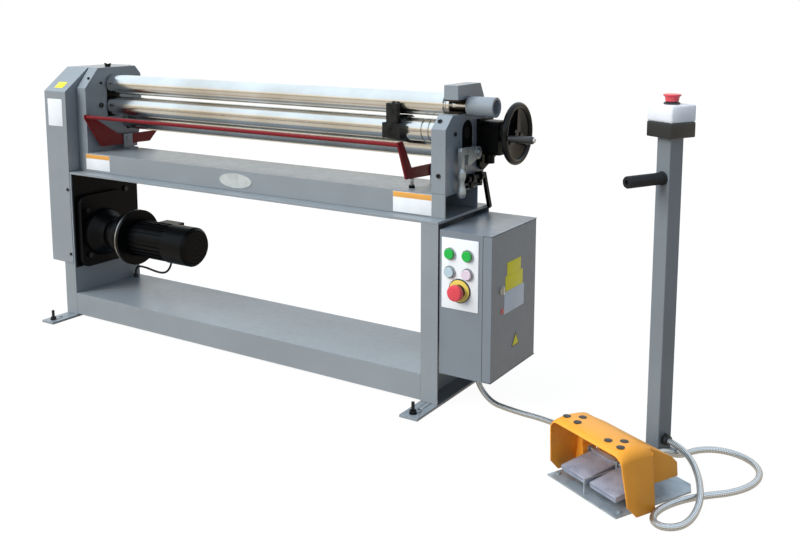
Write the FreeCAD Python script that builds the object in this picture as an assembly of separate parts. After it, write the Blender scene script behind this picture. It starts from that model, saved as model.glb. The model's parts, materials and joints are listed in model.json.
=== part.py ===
import FreeCAD, Part
import math
import os

# Motorised three-roll slip roll with a control cabinet and a free-standing twin foot pedal.
# X runs along the rolls to the right, Y to the rear, Z up.  All sizes are in millimetres.
# Sections: sizes, helpers, stand, bed and castings, rolls, rear roll lift, levers, guard bar,
# drive, cabinet, plates and screws, pedal unit, cables, output.

os.makedirs("parts", exist_ok=True)

# ---------------------------------------------------------------- sizes: rolls and castings
inner_span = 1440.0          # between the inner faces of the two castings
casting_t = 47.0             # thickness of a casting along X
casting_chamfer_y = 61.0     # left casting: depth of its sloped front
casting_chamfer_z = 70.0     # left casting: height of its sloped front
casting_rear = 262.0
post_front_drop = 57.0       # right casting: its upright front ends this far below the upper roll
post_slope_y = 40.0          # right casting: where the front slope meets the mouth
jaw_front = 70.0             # right casting: front face of the upper jaw
roll_r = 35.0
roll_y = 127.0               # common Y of the upper and lower roll axes
casting_over = 62.0          # tops of the castings above the upper roll axis
gear_module = 3.0
gear_teeth = 26
gear_w = 14.0
roll_body_gap = 6.0          # left end of the roll bodies to the left casting
upper_end_gap = 17.0         # right end of the upper roll body to the right casting
lower_end_gap = 5.0
swivel_journal_r = 15.0      # upper roll, left end
mouth_journal_r = 16.0       # upper roll, right end
lower_journal_r = 17.0
run_clear = 0.05             # radial clearance of every running fit
bush_wall = 4.0
swivel_r = 20.5              # upright swivel block that carries the upper roll's left end
swivel_h = 62.0
swing_slot_half = 18.5       # passage for the left journal while the roll swings
boss_r = 26.0                # hollow boss that the upper gear turns on
boss_bore_r = 20.0
socket_r = 29.0              # painted sleeve on the upper roll's right end
socket_len = 86.5
socket_bore_r = 21.0
socket_bore_len = 43.0
rear_roll_y = 205.0
rear_roll_rise = 104.0       # rear roll axis above the bed
rear_roll_drop = 59.0        # rear roll axis below the lower roll axis
rear_journal_r = 14.0
slide_w = 38.0               # rear roll bearing blocks
slide_h = 44.0
slide_clear = 0.4
lift_up = 60.0
lift_down = 10.0
pocket_depth = 35.0          # blind guide pocket in each casting
groove_w = 6.0               # wire grooves at the right end of the lower and rear rolls
groove_depth = 4.0
groove_offsets = (60.0, 84.0)

# ---------------------------------------------------------------- sizes: bed and stand
bed_top = 608.0
bed_h = 68.0
bed_depth = 195.0
bed_t = 5.0
shelf_t = 8.0
stand_front = -47.0
stand_depth = 306.0
leg_w = 56.0
leg_t = 4.0
left_leg_out = 52.0          # outer side of the left leg beyond the left casting
right_leg_out = 5.0          # outer side of the right leg beyond the right casting
base_top = 90.0
base_h = 79.0
base_t = 3.0
foot_len = 528.0
foot_w = 60.0
foot_t = 8.0
foot_hole_r = 7.0
anchor_inset = 62.0          # free anchor hole from the rear end of a foot bar
level_inset = 26.0           # levelling bolt from each end of a foot bar
level_bolt_r = 5.0

# ---------------------------------------------------------------- sizes: drive side
cover_w = 114.0
cover_t = 1.5
cover_side_gap = 3.0         # between the cover's right wall and the left casting
cover_bottom = 201.0
cover_slope_h = 81.0
cover_slope_y = 58.0
motor_y = 70.0
motor_z = 303.0
motor_plate_t = 6.0
motor_plate_bottom = 186.0
reducer_w = 204.0
reducer_h = 264.0
reducer_t = 22.0
neck_r = 50.0
neck_len = 107.0
ring_r = 75.0
ring_t = 28.0
adapter_r = 65.0
adapter_len = 31.0
motor_disc_r = 100.0
motor_disc_t = 17.0
motor_r = 61.0
motor_len = 175.0
fin_h = 6.0
fin_t = 3.0
fin_count = 24
cowl_r = 69.0
cowl_len = 109.0
drive_shaft_r = 12.5
sprocket_pitch = 15.875
sprocket_teeth = 13
roll_sprocket_teeth = 19
sprocket_t = 8.0
chain_w = 16.0
chain_t = 10.0
chain_clear = 0.6
chain_slot_gap = 5.0         # round the chain where it passes the shelf

# ---------------------------------------------------------------- sizes: cabinet
cab_gap = 3.0
cab_w = 163.0
cab_front = -43.0
cab_depth = 287.0
cab_drop = 12.0              # cabinet's top below the shelf plate
cab_h = 416.0
cab_t = 2.0
door_return = 28.0
door_gap = 1.0
hinge_r = 5.0
hinge_pin_r = 2.5
latch_y = 16.0
latch_drop = 163.0           # latch, buttons and panel are placed from the cabinet's top
latch_r = 9.0
panel_w = 115.0
panel_h = 201.0
panel_t = 2.0
button_r = 13.0
bezel_r = 17.0
button_row_drops = (63.0, 115.0)
button_col_ins = (35.0, 90.5)
estop_in = 66.0
estop_drop = 165.0
estop_collar_r = 34.0
estop_head_r = 23.0

# ---------------------------------------------------------------- sizes: handwheel, levers, bar
wheel_y = 215.0
wheel_drop = 4.0             # handwheel axis below the lower roll axis
wheel_face = 125.0
wheel_r = 92.0
rim_r = 9.5
wheel_hub_r = 20.0
wheel_shaft_r = 10.0
grip_offset = 78.0
grip_len = 88.0
grip_r = 10.5
spoke_w = 22.0
hub_y = 153.0                # release lever pivot
hub_drop = 59.0              # release lever pivot below the lower roll axis
hub_r = 19.0
cross_rod_drop = 72.0        # clamp lever's cross rod below the release lever pivot
cross_rod_r = 7.0
lever_pin_r = 9.0
bar_pivot_y = 166.0
bar_pivot_h = 37.0           # guard bar pivot above the bed
bar_rod_y = -16.0
bar_rod_drop = 30.0          # guard bar below the lower roll axis
bar_rod_r = 6.5
bar_plate_t = 6.0
bar_left_in = 16.0           # left bar plate from the left casting's inner face
bar_right_in = 90.0          # right bar plate from the right casting's inner face
bar_pin_r = 5.0
stop_in = 148.0              # folding stop from the right casting's inner face
stop_w = 62.0
stop_ring_t = 6.0
stop_upright_w = 37.0

# ---------------------------------------------------------------- sizes: pedal unit
ped_x = 602.0
ped_y = -187.0
ped_turn = -27.0
ped_w = 240.0
ped_d = 262.0
ped_t = 4.0
guard_u = 5.0                # middle of the guard to the right of the base's middle
guard_bottom_w = 272.0
guard_top_w = 240.0
guard_side_t = 24.0          # thickness of a side wall at its foot
guard_h = 146.0
guard_t = 3.0
guard_floor_gap = 12.0
guard_front = -128.0
guard_flat_end = -30.0       # rear edge of the flat top
guard_rear = 88.0
guard_rear_h = 72.0
guard_rear_inset = 10.0      # each side wall steps in behind the flat top
guard_rise = 38.0            # lower edge of the rear half above the floor
guard_corner_r = 20.0
pedal_w = 88.0
pedal_l = 108.0
pedal_t = 7.0
pedal_gap = 14.0
pedal_tilt = 9.0
pedal_hinge_v = -12.0
pedal_hinge_z = 50.0
pedal_pin_r = 4.0
post_w = 45.0
post_h = 812.0
post_wall = 2.5
post_u = -82.0
post_v = 200.0
post_foot_t = 6.0
box_w = 83.0
box_low_h = 38.0
box_high_h = 30.0
legend_r = 35.0
post_head_r = 22.0
hand_grip_r = 15.0
hand_grip_len = 118.0
hand_grip_z = 714.0

# ---------------------------------------------------------------- sizes: cables
conduit_r = 8.0
motor_cable_r = 4.0
gland_len = 14.0
pipe_x = 70.0                # conduit outlet in the cabinet's floor
pipe_y = 70.0

# derived places
right_in = -casting_t
left_in = right_in - inner_span
left_out = left_in - casting_t
gear_pitch_r = gear_module * gear_teeth / 2.0
rear_roll_z = bed_top + rear_roll_rise
lower_z = rear_roll_z + rear_roll_drop
upper_z = lower_z + 2.0 * gear_pitch_r
casting_top = upper_z + casting_over
small_pitch_r = sprocket_pitch / (2.0 * math.sin(math.pi / sprocket_teeth))
big_pitch_r = sprocket_pitch / (2.0 * math.sin(math.pi / roll_sprocket_teeth))
post_front_z = upper_z - post_front_drop
cover_slope_z = casting_top - cover_slope_h
wheel_z = lower_z - wheel_drop
hub_z = lower_z - hub_drop
cross_rod_z = hub_z - cross_rod_drop
bar_pivot_z = bed_top + bar_pivot_h
bar_rod_z = lower_z - bar_rod_drop
bed_bottom = bed_top - bed_h
shelf_bottom = bed_bottom - shelf_t
stand_rear = stand_front + stand_depth
lleg_x0 = left_out - left_leg_out
lleg_x1 = lleg_x0 + leg_w
rleg_x1 = right_leg_out
rleg_x0 = rleg_x1 - leg_w
swing_x = (left_in + left_out) / 2.0
mouth_half = mouth_journal_r + run_clear + bush_wall
cab_x0 = rleg_x1 + cab_gap
cab_top = shelf_bottom - cab_drop
latch_z = cab_top - latch_drop
estop_z = cab_top - estop_drop
estop_x = cab_x0 + estop_in
button_rows = [cab_top - drop for drop in button_row_drops]
button_cols = [cab_x0 + side for side in button_col_ins]


# ---------------------------------------------------------------- helpers
def vec(x, y, z):
    return FreeCAD.Vector(x, y, z)


def box(x0, x1, y0, y1, z0, z1):
    return Part.makeBox(x1 - x0, y1 - y0, z1 - z0, vec(x0, y0, z0))


def rod_x(r, x0, x1, y, z):
    return Part.makeCylinder(r, x1 - x0, vec(x0, y, z), vec(1, 0, 0))


def rod_y(r, y0, y1, x, z):
    return Part.makeCylinder(r, y1 - y0, vec(x, y0, z), vec(0, 1, 0))


def rod_z(r, z0, z1, x, y):
    return Part.makeCylinder(r, z1 - z0, vec(x, y, z0), vec(0, 0, 1))


def plate_x(points, x0, x1):
    """Prism of a (Y, Z) outline between two X planes."""
    pts = [vec(x0, y, z) for y, z in points]
    face = Part.Face(Part.makePolygon(pts + [pts[0]]))
    return face.extrude(vec(x1 - x0, 0, 0))


def plate_y(points, y0, y1):
    """Prism of an (X, Z) outline between two Y planes."""
    pts = [vec(x, y0, z) for x, z in points]
    face = Part.Face(Part.makePolygon(pts + [pts[0]]))
    return face.extrude(vec(0, y1 - y0, 0))


def turned_x(points, y, z):
    """Solid of revolution about an X axis at (y, z) from (x, radius) points."""
    pts = [vec(x, y, z + r) for x, r in points]
    face = Part.Face(Part.makePolygon(pts + [pts[0]]))
    return face.revolve(vec(0, y, z), vec(1, 0, 0), 360)


def ring_x(r_out, r_in, x0, x1, y, z):
    return rod_x(r_out, x0, x1, y, z).cut(rod_x(r_in, x0, x1, y, z))


def fuse(shapes):
    whole = shapes[0]
    for s in shapes[1:]:
        whole = whole.fuse(s)
    return whole.removeSplitter()


def hex_x(across, x0, x1, y, z):
    """Hexagonal prism along X, as wide across its flats as given."""
    r = across / math.sqrt(3.0)
    pts = [(y + r * math.cos(math.radians(60 * k)), z + r * math.sin(math.radians(60 * k)))
           for k in range(6)]
    return plate_x(pts, x0, x1)


def round_edges(shape, radius, pick):
    edges = [e for e in shape.Edges if pick(e)]
    return shape.makeFillet(radius, edges)


def toothed(x0, x1, y, z, teeth, tip_r, root_r, tip_w, root_w, bore_r, phase):
    """Gear or sprocket as one outline of straight-sided teeth, extruded along X."""
    pts = []
    for k in range(teeth):
        a = phase + 2.0 * math.pi * k / teeth
        for r, w in ((root_r, -root_w), (tip_r, -tip_w), (tip_r, tip_w), (root_r, root_w)):
            b = a + w / (2.0 * r)
            pts.append((y + r * math.cos(b), z + r * math.sin(b)))
    return plate_x(pts, x0, x1).cut(rod_x(bore_r, x0, x1, y, z))


nodes = {}

# ---------------------------------------------------------------- stand
# Two pressed C-legs, a pressed base channel between them and a flat shelf under the bed.
hub_hole_r = drive_shaft_r + 8.0


def leg(x0, x1, web_x):
    """C-section leg whose web stands at web_x and whose flanges run from x0 to x1."""
    return fuse([
        box(web_x, web_x + leg_t, stand_front, stand_rear, foot_t, shelf_bottom),
        box(x0, x1, stand_front, stand_front + leg_t, foot_t, shelf_bottom),
        box(x0, x1, stand_rear - leg_t, stand_rear, foot_t, shelf_bottom),
    ])


left_leg = leg(lleg_x0, lleg_x1, lleg_x1 - leg_t)
left_leg = left_leg.cut(rod_x(hub_hole_r, lleg_x1 - leg_t - 1, lleg_x1 + 1, motor_y, motor_z))
nodes["legs"] = Part.makeCompound([left_leg, leg(rleg_x0, rleg_x1, rleg_x0)])

channel = box(lleg_x1, rleg_x0, stand_front, stand_rear, base_top - base_h, base_top)
channel = channel.cut(box(lleg_x1 - 1, rleg_x0 + 1, stand_front + base_t, stand_rear - base_t,
                          base_top - base_h - 1, base_top - base_t))
nodes["base_channel"] = channel

sprocket_x = left_out - gear_w - 20.0
slot_half_x = chain_w / 2 + chain_slot_gap
slot_small = small_pitch_r + chain_t / 2 + chain_slot_gap
slot_big = big_pitch_r + chain_t / 2 + chain_slot_gap
chain_slot = box(sprocket_x - slot_half_x, sprocket_x + slot_half_x,
                 motor_y - slot_small, roll_y + slot_big, shelf_bottom - 1, bed_bottom + 1)
shelf = box(lleg_x0, rleg_x1, stand_front, stand_rear, shelf_bottom, bed_bottom)
nodes["shelf_plate"] = shelf.cut(chain_slot)

# Flat foot bars run front to back under each leg, with a levelling bolt near each end.
foot_mid_y = (stand_front + stand_rear) / 2.0
foot_y0 = foot_mid_y - foot_len / 2.0
foot_y1 = foot_mid_y + foot_len / 2.0
foot_xs = ((lleg_x0 + lleg_x1) / 2.0, (rleg_x0 + rleg_x1) / 2.0)
feet = []
fasteners = []
for fx in foot_xs:
    bar = box(fx - foot_w / 2, fx + foot_w / 2, foot_y0, foot_y1, 0, foot_t)
    for ay in (foot_y0 + anchor_inset, foot_y1 - anchor_inset):
        bar = bar.cut(rod_z(foot_hole_r, -1, foot_t + 1, fx, ay))
    for by in (foot_y0 + level_inset, foot_y1 - level_inset):
        bar = bar.cut(rod_z(level_bolt_r + run_clear, -1, foot_t + 1, fx, by))
        nut = hex_x(17.0, 0, 8.0, 0, 0)
        nut.rotate(vec(0, 0, 0), vec(0, 1, 0), -90)
        nut.translate(vec(fx, by, foot_t + 2.5))
        fasteners.append(fuse([
            rod_z(level_bolt_r, 0.5, foot_t + 34.0, fx, by),
            rod_z(11.0, foot_t, foot_t + 2.5, fx, by),
            nut,
        ]))
    feet.append(bar)
nodes["foot_bars"] = Part.makeCompound(feet)

# ---------------------------------------------------------------- bed and castings
bed = box(left_out, 0, 0, bed_depth, bed_bottom, bed_top)
bed = bed.cut(box(left_out - 1, 1, bed_t, bed_depth - bed_t, bed_bottom - 1, bed_top - bed_t))
nodes["bed"] = bed

def arch(x0, x1, half, low, high):
    """Round-topped plate about the roll axes, from z low to the centre of its top arc."""
    return fuse([rod_x(half, x0, x1, roll_y, high),
                 box(x0, x1, roll_y - half, roll_y + half, low, high)])


# Left casting: a closed side plate with a sloped front, a seat for the swivel block that
# opens at the top, a bushed bore for the lower roll and a pocket for the rear roll block.
left_outline = [
    (0, bed_top), (0, casting_top - casting_chamfer_z), (casting_chamfer_y, casting_top),
    (casting_rear - 26, casting_top), (casting_rear, casting_top - 30),
    (casting_rear, bed_top + 90), (casting_rear - 29, bed_top + 30), (casting_rear - 29, bed_top),
]
left_casting = plate_x(left_outline, left_out, left_in)
left_casting = left_casting.fuse(rod_x(boss_r, left_out - gear_w - 2, left_out + 1, roll_y, upper_z))
left_casting = left_casting.cut(rod_x(boss_bore_r, left_out - gear_w - 3, left_in + 1,
                                      roll_y, upper_z))
swivel_seat_r = swivel_r + run_clear
swivel_z0 = upper_z - swivel_h / 2.0
swivel_z1 = upper_z + swivel_h / 2.0
left_casting = left_casting.cut(rod_z(swivel_seat_r, swivel_z0 - 0.5, swivel_z1 + 0.5,
                                      swing_x, roll_y))
wing_r = 5.0
left_casting = left_casting.cut(rod_z(wing_r + run_clear, swivel_z1, casting_top + 1,
                                      swing_x, roll_y))
bush_r = lower_journal_r + run_clear + bush_wall
left_casting = left_casting.cut(rod_x(bush_r, left_out - 1, left_in + 1, roll_y, lower_z))
pocket_y0 = rear_roll_y - slide_w / 2 - slide_clear
pocket_y1 = rear_roll_y + slide_w / 2 + slide_clear
pocket_z0 = rear_roll_z - lift_down - slide_h / 2 - 2.0
pocket_z1 = rear_roll_z + lift_up + slide_h / 2 + 2.0
left_casting = left_casting.cut(box(left_in - pocket_depth, left_in + 1, pocket_y0, pocket_y1,
                                    pocket_z0, pocket_z1))
keeper_t = 3.0
keeper_half = 30.0
left_casting = left_casting.cut(arch(left_in - keeper_t, left_in + 1, keeper_half,
                                     lower_z - 40, upper_z + 2))
nodes["left_casting"] = left_casting.removeSplitter()

# Right casting: a C-shaped side plate whose mouth opens to the front, so the upper roll's
# journal can swing out between the post and the upper jaw.
jaw_z = upper_z + mouth_half
lip_z = upper_z - mouth_half
right_outline = [
    (0, bed_top), (0, post_front_z), (post_slope_y, lip_z), (roll_y, lip_z), (roll_y, jaw_z),
    (jaw_front, jaw_z), (jaw_front, casting_top), (casting_rear - 57, casting_top),
    (casting_rear - 31, casting_top - 46), (casting_rear - 5, bed_top + 79),
    (casting_rear - 42, bed_top + 23), (casting_rear - 42, bed_top),
]
right_casting = plate_x(right_outline, right_in, 0)
right_casting = right_casting.cut(rod_x(mouth_half, right_in - 1, 1, roll_y, upper_z))
right_casting = right_casting.cut(rod_x(bush_r, right_in - 1, 1, roll_y, lower_z))
slot_half = 31.0
slot_low = lower_z - 43.0
slot_recess = 6.0
slot_top = lower_z + 6.0
right_casting = right_casting.cut(arch(-slot_recess, 1, slot_half, slot_low, slot_top))
right_casting = right_casting.cut(box(right_in - 1, right_in + pocket_depth, pocket_y0, pocket_y1,
                                      pocket_z0, pocket_z1))
right_casting = right_casting.cut(rod_x(lever_pin_r + run_clear, right_in - 1, 1, hub_y, hub_z))
nodes["right_casting"] = right_casting.removeSplitter()

# Bronze: a U-shaped shoe in the mouth, two flanged bushes for the lower roll.
shoe = fuse([
    rod_x(mouth_half, right_in, 0, roll_y, upper_z),
    box(right_in, 0, jaw_front + 2, roll_y, lip_z, jaw_z),
])
shoe = shoe.cut(rod_x(mouth_journal_r + run_clear, right_in - 1, 1, roll_y, upper_z))
shoe = shoe.cut(box(right_in - 1, 1, jaw_front - 1, roll_y,
                    upper_z - mouth_journal_r - run_clear, upper_z + mouth_journal_r + run_clear))
left_bush = ring_x(bush_r, lower_journal_r + run_clear, left_out, left_in - keeper_t,
                   roll_y, lower_z)
right_bush = ring_x(bush_r, lower_journal_r + run_clear, right_in, -slot_recess, roll_y, lower_z)
nodes["bronze_bushes"] = Part.makeCompound([shoe, left_bush, right_bush])

# Black arched keeper plates set into the castings round the roll ends.
left_keeper = arch(left_in - keeper_t, left_in, keeper_half, lower_z - 40, upper_z + 2)
left_keeper = left_keeper.cut(rod_x(boss_bore_r, left_in - 4, left_in + 1, roll_y, upper_z))
left_keeper = left_keeper.cut(rod_x(lower_journal_r + 1.0, left_in - 4, left_in + 1,
                                    roll_y, lower_z))
right_keeper = arch(-slot_recess, -1.0, slot_half, slot_low, slot_top)
right_keeper = right_keeper.cut(rod_x(lower_journal_r + 1.0, -slot_recess - 1, 0,
                                      roll_y, lower_z))
nodes["keeper_plates"] = Part.makeCompound([left_keeper, right_keeper])

# ---------------------------------------------------------------- rolls
# Upper roll: ground body, stepped right end that lies in the mouth, long left journal.
body_x0 = left_in + roll_body_gap
upper_x1 = right_in - upper_end_gap
gear_x0 = left_out - gear_w - 1.0
gear_x1 = left_out - 1.0
journal_end = 48.0
upper_roll = turned_x([
    (gear_x0 - 6, 0), (gear_x0 - 6, swivel_journal_r), (body_x0 - 2, swivel_journal_r),
    (body_x0 - 2, roll_r - 7), (body_x0, roll_r - 7), (body_x0, roll_r - 1),
    (body_x0 + 1, roll_r), (upper_x1 - 1, roll_r), (upper_x1, roll_r - 1),
    (upper_x1, roll_r - 5), (upper_x1 + 5, roll_r - 5), (upper_x1 + 5, roll_r - 7),
    (right_in - 1, roll_r - 7), (right_in - 1, mouth_journal_r),
    (journal_end, mouth_journal_r), (journal_end, 0),
], roll_y, upper_z)
nodes["upper_roll"] = upper_roll

lower_x1 = right_in - lower_end_gap
profile = [
    (sprocket_x - sprocket_t / 2 - 6, 0),
    (sprocket_x - sprocket_t / 2 - 6, lower_journal_r),
    (body_x0 - 4, lower_journal_r), (body_x0 - 4, roll_r - 7), (body_x0, roll_r - 7),
    (body_x0, roll_r - 1), (body_x0 + 1, roll_r),
]
for off in sorted(groove_offsets, reverse=True):
    gx = lower_x1 - off
    profile += [(gx - groove_w / 2, roll_r), (gx - groove_w / 4, roll_r - groove_depth),
                (gx + groove_w / 4, roll_r - groove_depth), (gx + groove_w / 2, roll_r)]
profile += [
    (lower_x1 - 1, roll_r), (lower_x1, roll_r - 1), (lower_x1, roll_r - 7),
    (right_in - 1, roll_r - 7), (right_in - 1, lower_journal_r),
    (-2.5, lower_journal_r), (-2.5, 0),
]
nodes["lower_roll"] = turned_x(profile, roll_y, lower_z)

rear_x1 = right_in - lower_end_gap
profile = [
    (left_in - pocket_depth + 3, 0), (left_in - pocket_depth + 3, rear_journal_r),
    (body_x0, rear_journal_r), (body_x0, roll_r - 1), (body_x0 + 1, roll_r),
]
for off in sorted(groove_offsets, reverse=True):
    gx = rear_x1 - off
    profile += [(gx - groove_w / 2, roll_r), (gx - groove_w / 4, roll_r - groove_depth),
                (gx + groove_w / 4, roll_r - groove_depth), (gx + groove_w / 2, roll_r)]
profile += [
    (rear_x1 - 1, roll_r), (rear_x1, roll_r - 1), (rear_x1, rear_journal_r),
    (right_in + pocket_depth - 3, rear_journal_r), (right_in + pocket_depth - 3, 0),
]
nodes["rear_roll"] = turned_x(profile, rear_roll_y, rear_roll_z)

# Equal spur gears outside the left casting; the lower one carries the chain sprocket too.
tip_r = gear_pitch_r + 0.95 * gear_module
root_r = gear_pitch_r - 1.25 * gear_module
half_pitch = math.pi * gear_module / 2.0
tooth_tip = half_pitch * 0.42
tooth_root = half_pitch * 1.36
half_step = math.pi / gear_teeth
upper_gear = toothed(gear_x0, gear_x1, roll_y, upper_z, gear_teeth, tip_r, root_r,
                     tooth_tip, tooth_root, boss_r + run_clear, -math.pi / 2)
nodes["upper_gear"] = upper_gear
lower_gear = toothed(gear_x0, gear_x1, roll_y, lower_z, gear_teeth, tip_r, root_r,
                     tooth_tip, tooth_root, lower_journal_r, math.pi / 2 + half_step)
big_sprocket = toothed(sprocket_x - sprocket_t / 2, sprocket_x + sprocket_t / 2, roll_y, lower_z,
                       roll_sprocket_teeth, big_pitch_r - chain_t / 2 - chain_clear,
                       big_pitch_r - chain_t / 2 - 4.0, 4.0, 9.0, lower_journal_r, 0.0)
spacer = ring_x(lower_journal_r + 7, lower_journal_r, sprocket_x + sprocket_t / 2, gear_x0,
                roll_y, lower_z)
nodes["lower_gear_set"] = Part.makeCompound([lower_gear, big_sprocket, spacer])

# Upright swivel block in the left casting: the upper roll swings about it.
swivel = rod_z(swivel_r, swivel_z0, swivel_z1, swing_x, roll_y)
swivel = swivel.cut(rod_x(swivel_journal_r + run_clear, left_out, left_in, roll_y, upper_z))
nodes["swivel_block"] = swivel

# Painted sleeve on the right journal; a bar goes into its open end to swing the roll out.
socket_x0 = 6.5                # clear of the casting while the roll swings
socket_x1 = socket_x0 + socket_len
sleeve = rod_x(socket_r, socket_x0, socket_x1, roll_y, upper_z)
sleeve = sleeve.cut(rod_x(mouth_journal_r + run_clear, socket_x0 - 1, socket_x1, roll_y, upper_z))
sleeve = sleeve.cut(rod_x(socket_bore_r, socket_x1 - socket_bore_len, socket_x1 + 1,
                          roll_y, upper_z))
nodes["lift_sleeve"] = round_edges(sleeve, 1.5, lambda e: abs(e.BoundBox.XMin - socket_x1) < 0.01
                                   and e.BoundBox.XLength < 0.01)

# Folding stop: a ring round the lower roll with a block and an upright in front of the rolls.
stop_x1 = right_in - stop_in
stop_x0 = stop_x1 - stop_w
stop_out_r = roll_r + run_clear + stop_ring_t
stop_mid = (stop_x0 + stop_x1) / 2.0
stop_front = roll_y - roll_r - 24.0
upright_back = roll_y - roll_r - 2.5
upright = box(stop_mid - stop_upright_w / 2, stop_mid + stop_upright_w / 2, stop_front + 3,
              upright_back, lower_z + 18, upper_z)
stop = fuse([
    rod_x(stop_out_r, stop_x0, stop_x1, roll_y, lower_z),
    box(stop_x0, stop_x1, stop_front, roll_y - 22, lower_z - 25, lower_z + 20),
    upright,
])
stop = stop.cut(rod_x(roll_r + run_clear, stop_x0 - 1, stop_x1 + 1, roll_y, lower_z))
stop_screw_y = (stop_front + 3 + upright_back) / 2.0
stop = fuse([stop, rod_z(5.5, upper_z, upper_z + 6, stop_mid + 3, stop_screw_y),
             rod_y(4.0, stop_front - 2, stop_front, stop_mid - 4, lower_z + 2)])
nodes["folding_stop"] = stop

# ---------------------------------------------------------------- rear roll lift
# Two square bearing blocks guided in the casting pockets carry the rear roll up and down.
slides = []
for x0, x1 in ((left_in - pocket_depth + 1, left_in - 0.5),
               (right_in + 0.5, right_in + pocket_depth - 1)):
    blk = box(x0, x1, rear_roll_y - slide_w / 2, rear_roll_y + slide_w / 2,
              rear_roll_z - slide_h / 2, rear_roll_z + slide_h / 2)
    slides.append(blk.cut(rod_x(rear_journal_r + run_clear, x0 - 1, x1 + 1,
                                rear_roll_y, rear_roll_z)))
nodes["lift_blocks"] = Part.makeCompound(slides)

# Bevel gear case for the lift, on a slanted bracket outside the right casting.
case_x0 = 12.0
case_x1 = 70.0
bracket = plate_x([(wheel_y + dy, wheel_z + dz) for dy, dz in (
    (-33, -99), (-9, -114), (107, -69), (107, -55), (51, -11), (51, 39), (-33, 39))], 0, case_x0)
case_front = wheel_y - 31.0
case_rear = wheel_y + 34.0
case = box(case_x0, case_x1, case_front, case_rear, wheel_z - 66, wheel_z + 34)
case = round_edges(case, 12.0, lambda e: e.BoundBox.XLength > case_x1 - case_x0 - 0.1)
case = fuse([
    case,
    rod_x(27, case_x1, case_x1 + 8, wheel_y, wheel_z),
    rod_x(17, case_x1 + 8, case_x1 + 18, wheel_y, wheel_z),
    rod_z(15, wheel_z - 92, wheel_z - 66, case_x0 + 20, rear_roll_y),
])
case = case.cut(rod_x(wheel_shaft_r + run_clear, case_x1 - 30, case_x1 + 19, wheel_y, wheel_z))
lift_parts = [bracket, case]
for bz in (wheel_z - 78, wheel_z + 26):
    lift_parts.append(hex_x(13.0, case_x0, case_x0 + 6, case_front - 5.5, bz))

# Handwheel: round rim, dished solid web with three raised spokes, hub and shaft.
rim_x = wheel_face - rim_r
rim = Part.makeTorus(wheel_r - rim_r, rim_r, vec(rim_x, wheel_y, wheel_z), vec(1, 0, 0))
web = turned_x([
    (rim_x - 18, wheel_hub_r - 4), (rim_x - 4, wheel_r - rim_r - 4),
    (rim_x + 2, wheel_r - rim_r - 4), (rim_x - 12, wheel_hub_r - 4),
], wheel_y, wheel_z)
wheel_parts = [rim, web, rod_x(wheel_hub_r, rim_x - 26, rim_x + 2, wheel_y, wheel_z),
               rod_x(wheel_shaft_r, case_x1 - 28, rim_x - 26, wheel_y, wheel_z)]
for a in (90, 210, 330):
    spoke = plate_x([
        (wheel_y - spoke_w / 2, wheel_z + 12), (wheel_y + spoke_w / 2, wheel_z + 12),
        (wheel_y + spoke_w / 2 - 4, wheel_z + wheel_r - rim_r), (wheel_y - spoke_w / 2 + 4,
                                                                 wheel_z + wheel_r - rim_r),
    ], rim_x - 13, rim_x + 5)
    spoke.rotate(vec(0, wheel_y, wheel_z), vec(1, 0, 0), a - 90)
    wheel_parts.append(spoke)
grip_y = wheel_y - grip_offset
grip_z = wheel_z - 5.0
grip_pin_r = 5.0
wheel_parts.append(rod_x(grip_pin_r, rim_x - 6, rim_x + rim_r + grip_len - 7, grip_y, grip_z))
wheel = fuse(wheel_parts)
nodes["handwheel"] = wheel
grip_x0 = rim_x + rim_r + 1.0
grip = turned_x([
    (grip_x0, grip_pin_r + run_clear), (grip_x0, grip_r - 2), (grip_x0 + 8, grip_r),
    (grip_x0 + grip_len * 0.55, grip_r + 1), (grip_x0 + grip_len - 5, grip_r - 1),
    (grip_x0 + grip_len - 5, 0), (grip_x0 + grip_len - 6.8, 0),
    (grip_x0 + grip_len - 6.8, grip_pin_r + run_clear),
], grip_y, grip_z)
nodes["handwheel_grip"] = grip

# ---------------------------------------------------------------- levers and wing screw
# Cast release lever: hub, arm to the front and a tapered ball grip that hangs down.
lever_x0 = 1.5
lever_x1 = 24.0
arm_x = 17.0
knob_y = 62.0
arm = plate_x([(hub_y + 4, hub_z + 17), (knob_y - 6, hub_z + 24), (knob_y - 9, hub_z + 14),
               (knob_y - 6, hub_z - 40), (knob_y + 7, hub_z - 40), (knob_y + 10, hub_z + 4),
               (knob_y + 34, hub_z + 1), (knob_y + 30, hub_z - 28), (knob_y + 44, hub_z - 30),
               (hub_y - 4, hub_z - 17)], arm_x - 7, arm_x + 5)
knob_top = hub_z - 34.0
knob = Part.Face(Part.makePolygon([vec(arm_x + r, knob_y, z) for r, z in [
    (0, knob_top), (7, knob_top), (12, knob_top - 12), (13, knob_top - 24), (8, knob_top - 40),
    (9, knob_top - 52), (13, knob_top - 66), (13.5, knob_top - 74), (10, knob_top - 84),
    (4, knob_top - 88), (0, knob_top - 88), (0, knob_top)]]))
knob = knob.revolve(vec(arm_x, knob_y, 0), vec(0, 0, 1), 360)
release = fuse([rod_x(hub_r, lever_x0, lever_x1, hub_y, hub_z), arm, knob,
                hex_x(16, lever_x1, lever_x1 + 6, hub_y, hub_z),
                rod_x(lever_pin_r, right_in - 4, lever_x0, hub_y, hub_z)])
nodes["release_lever"] = release

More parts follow.
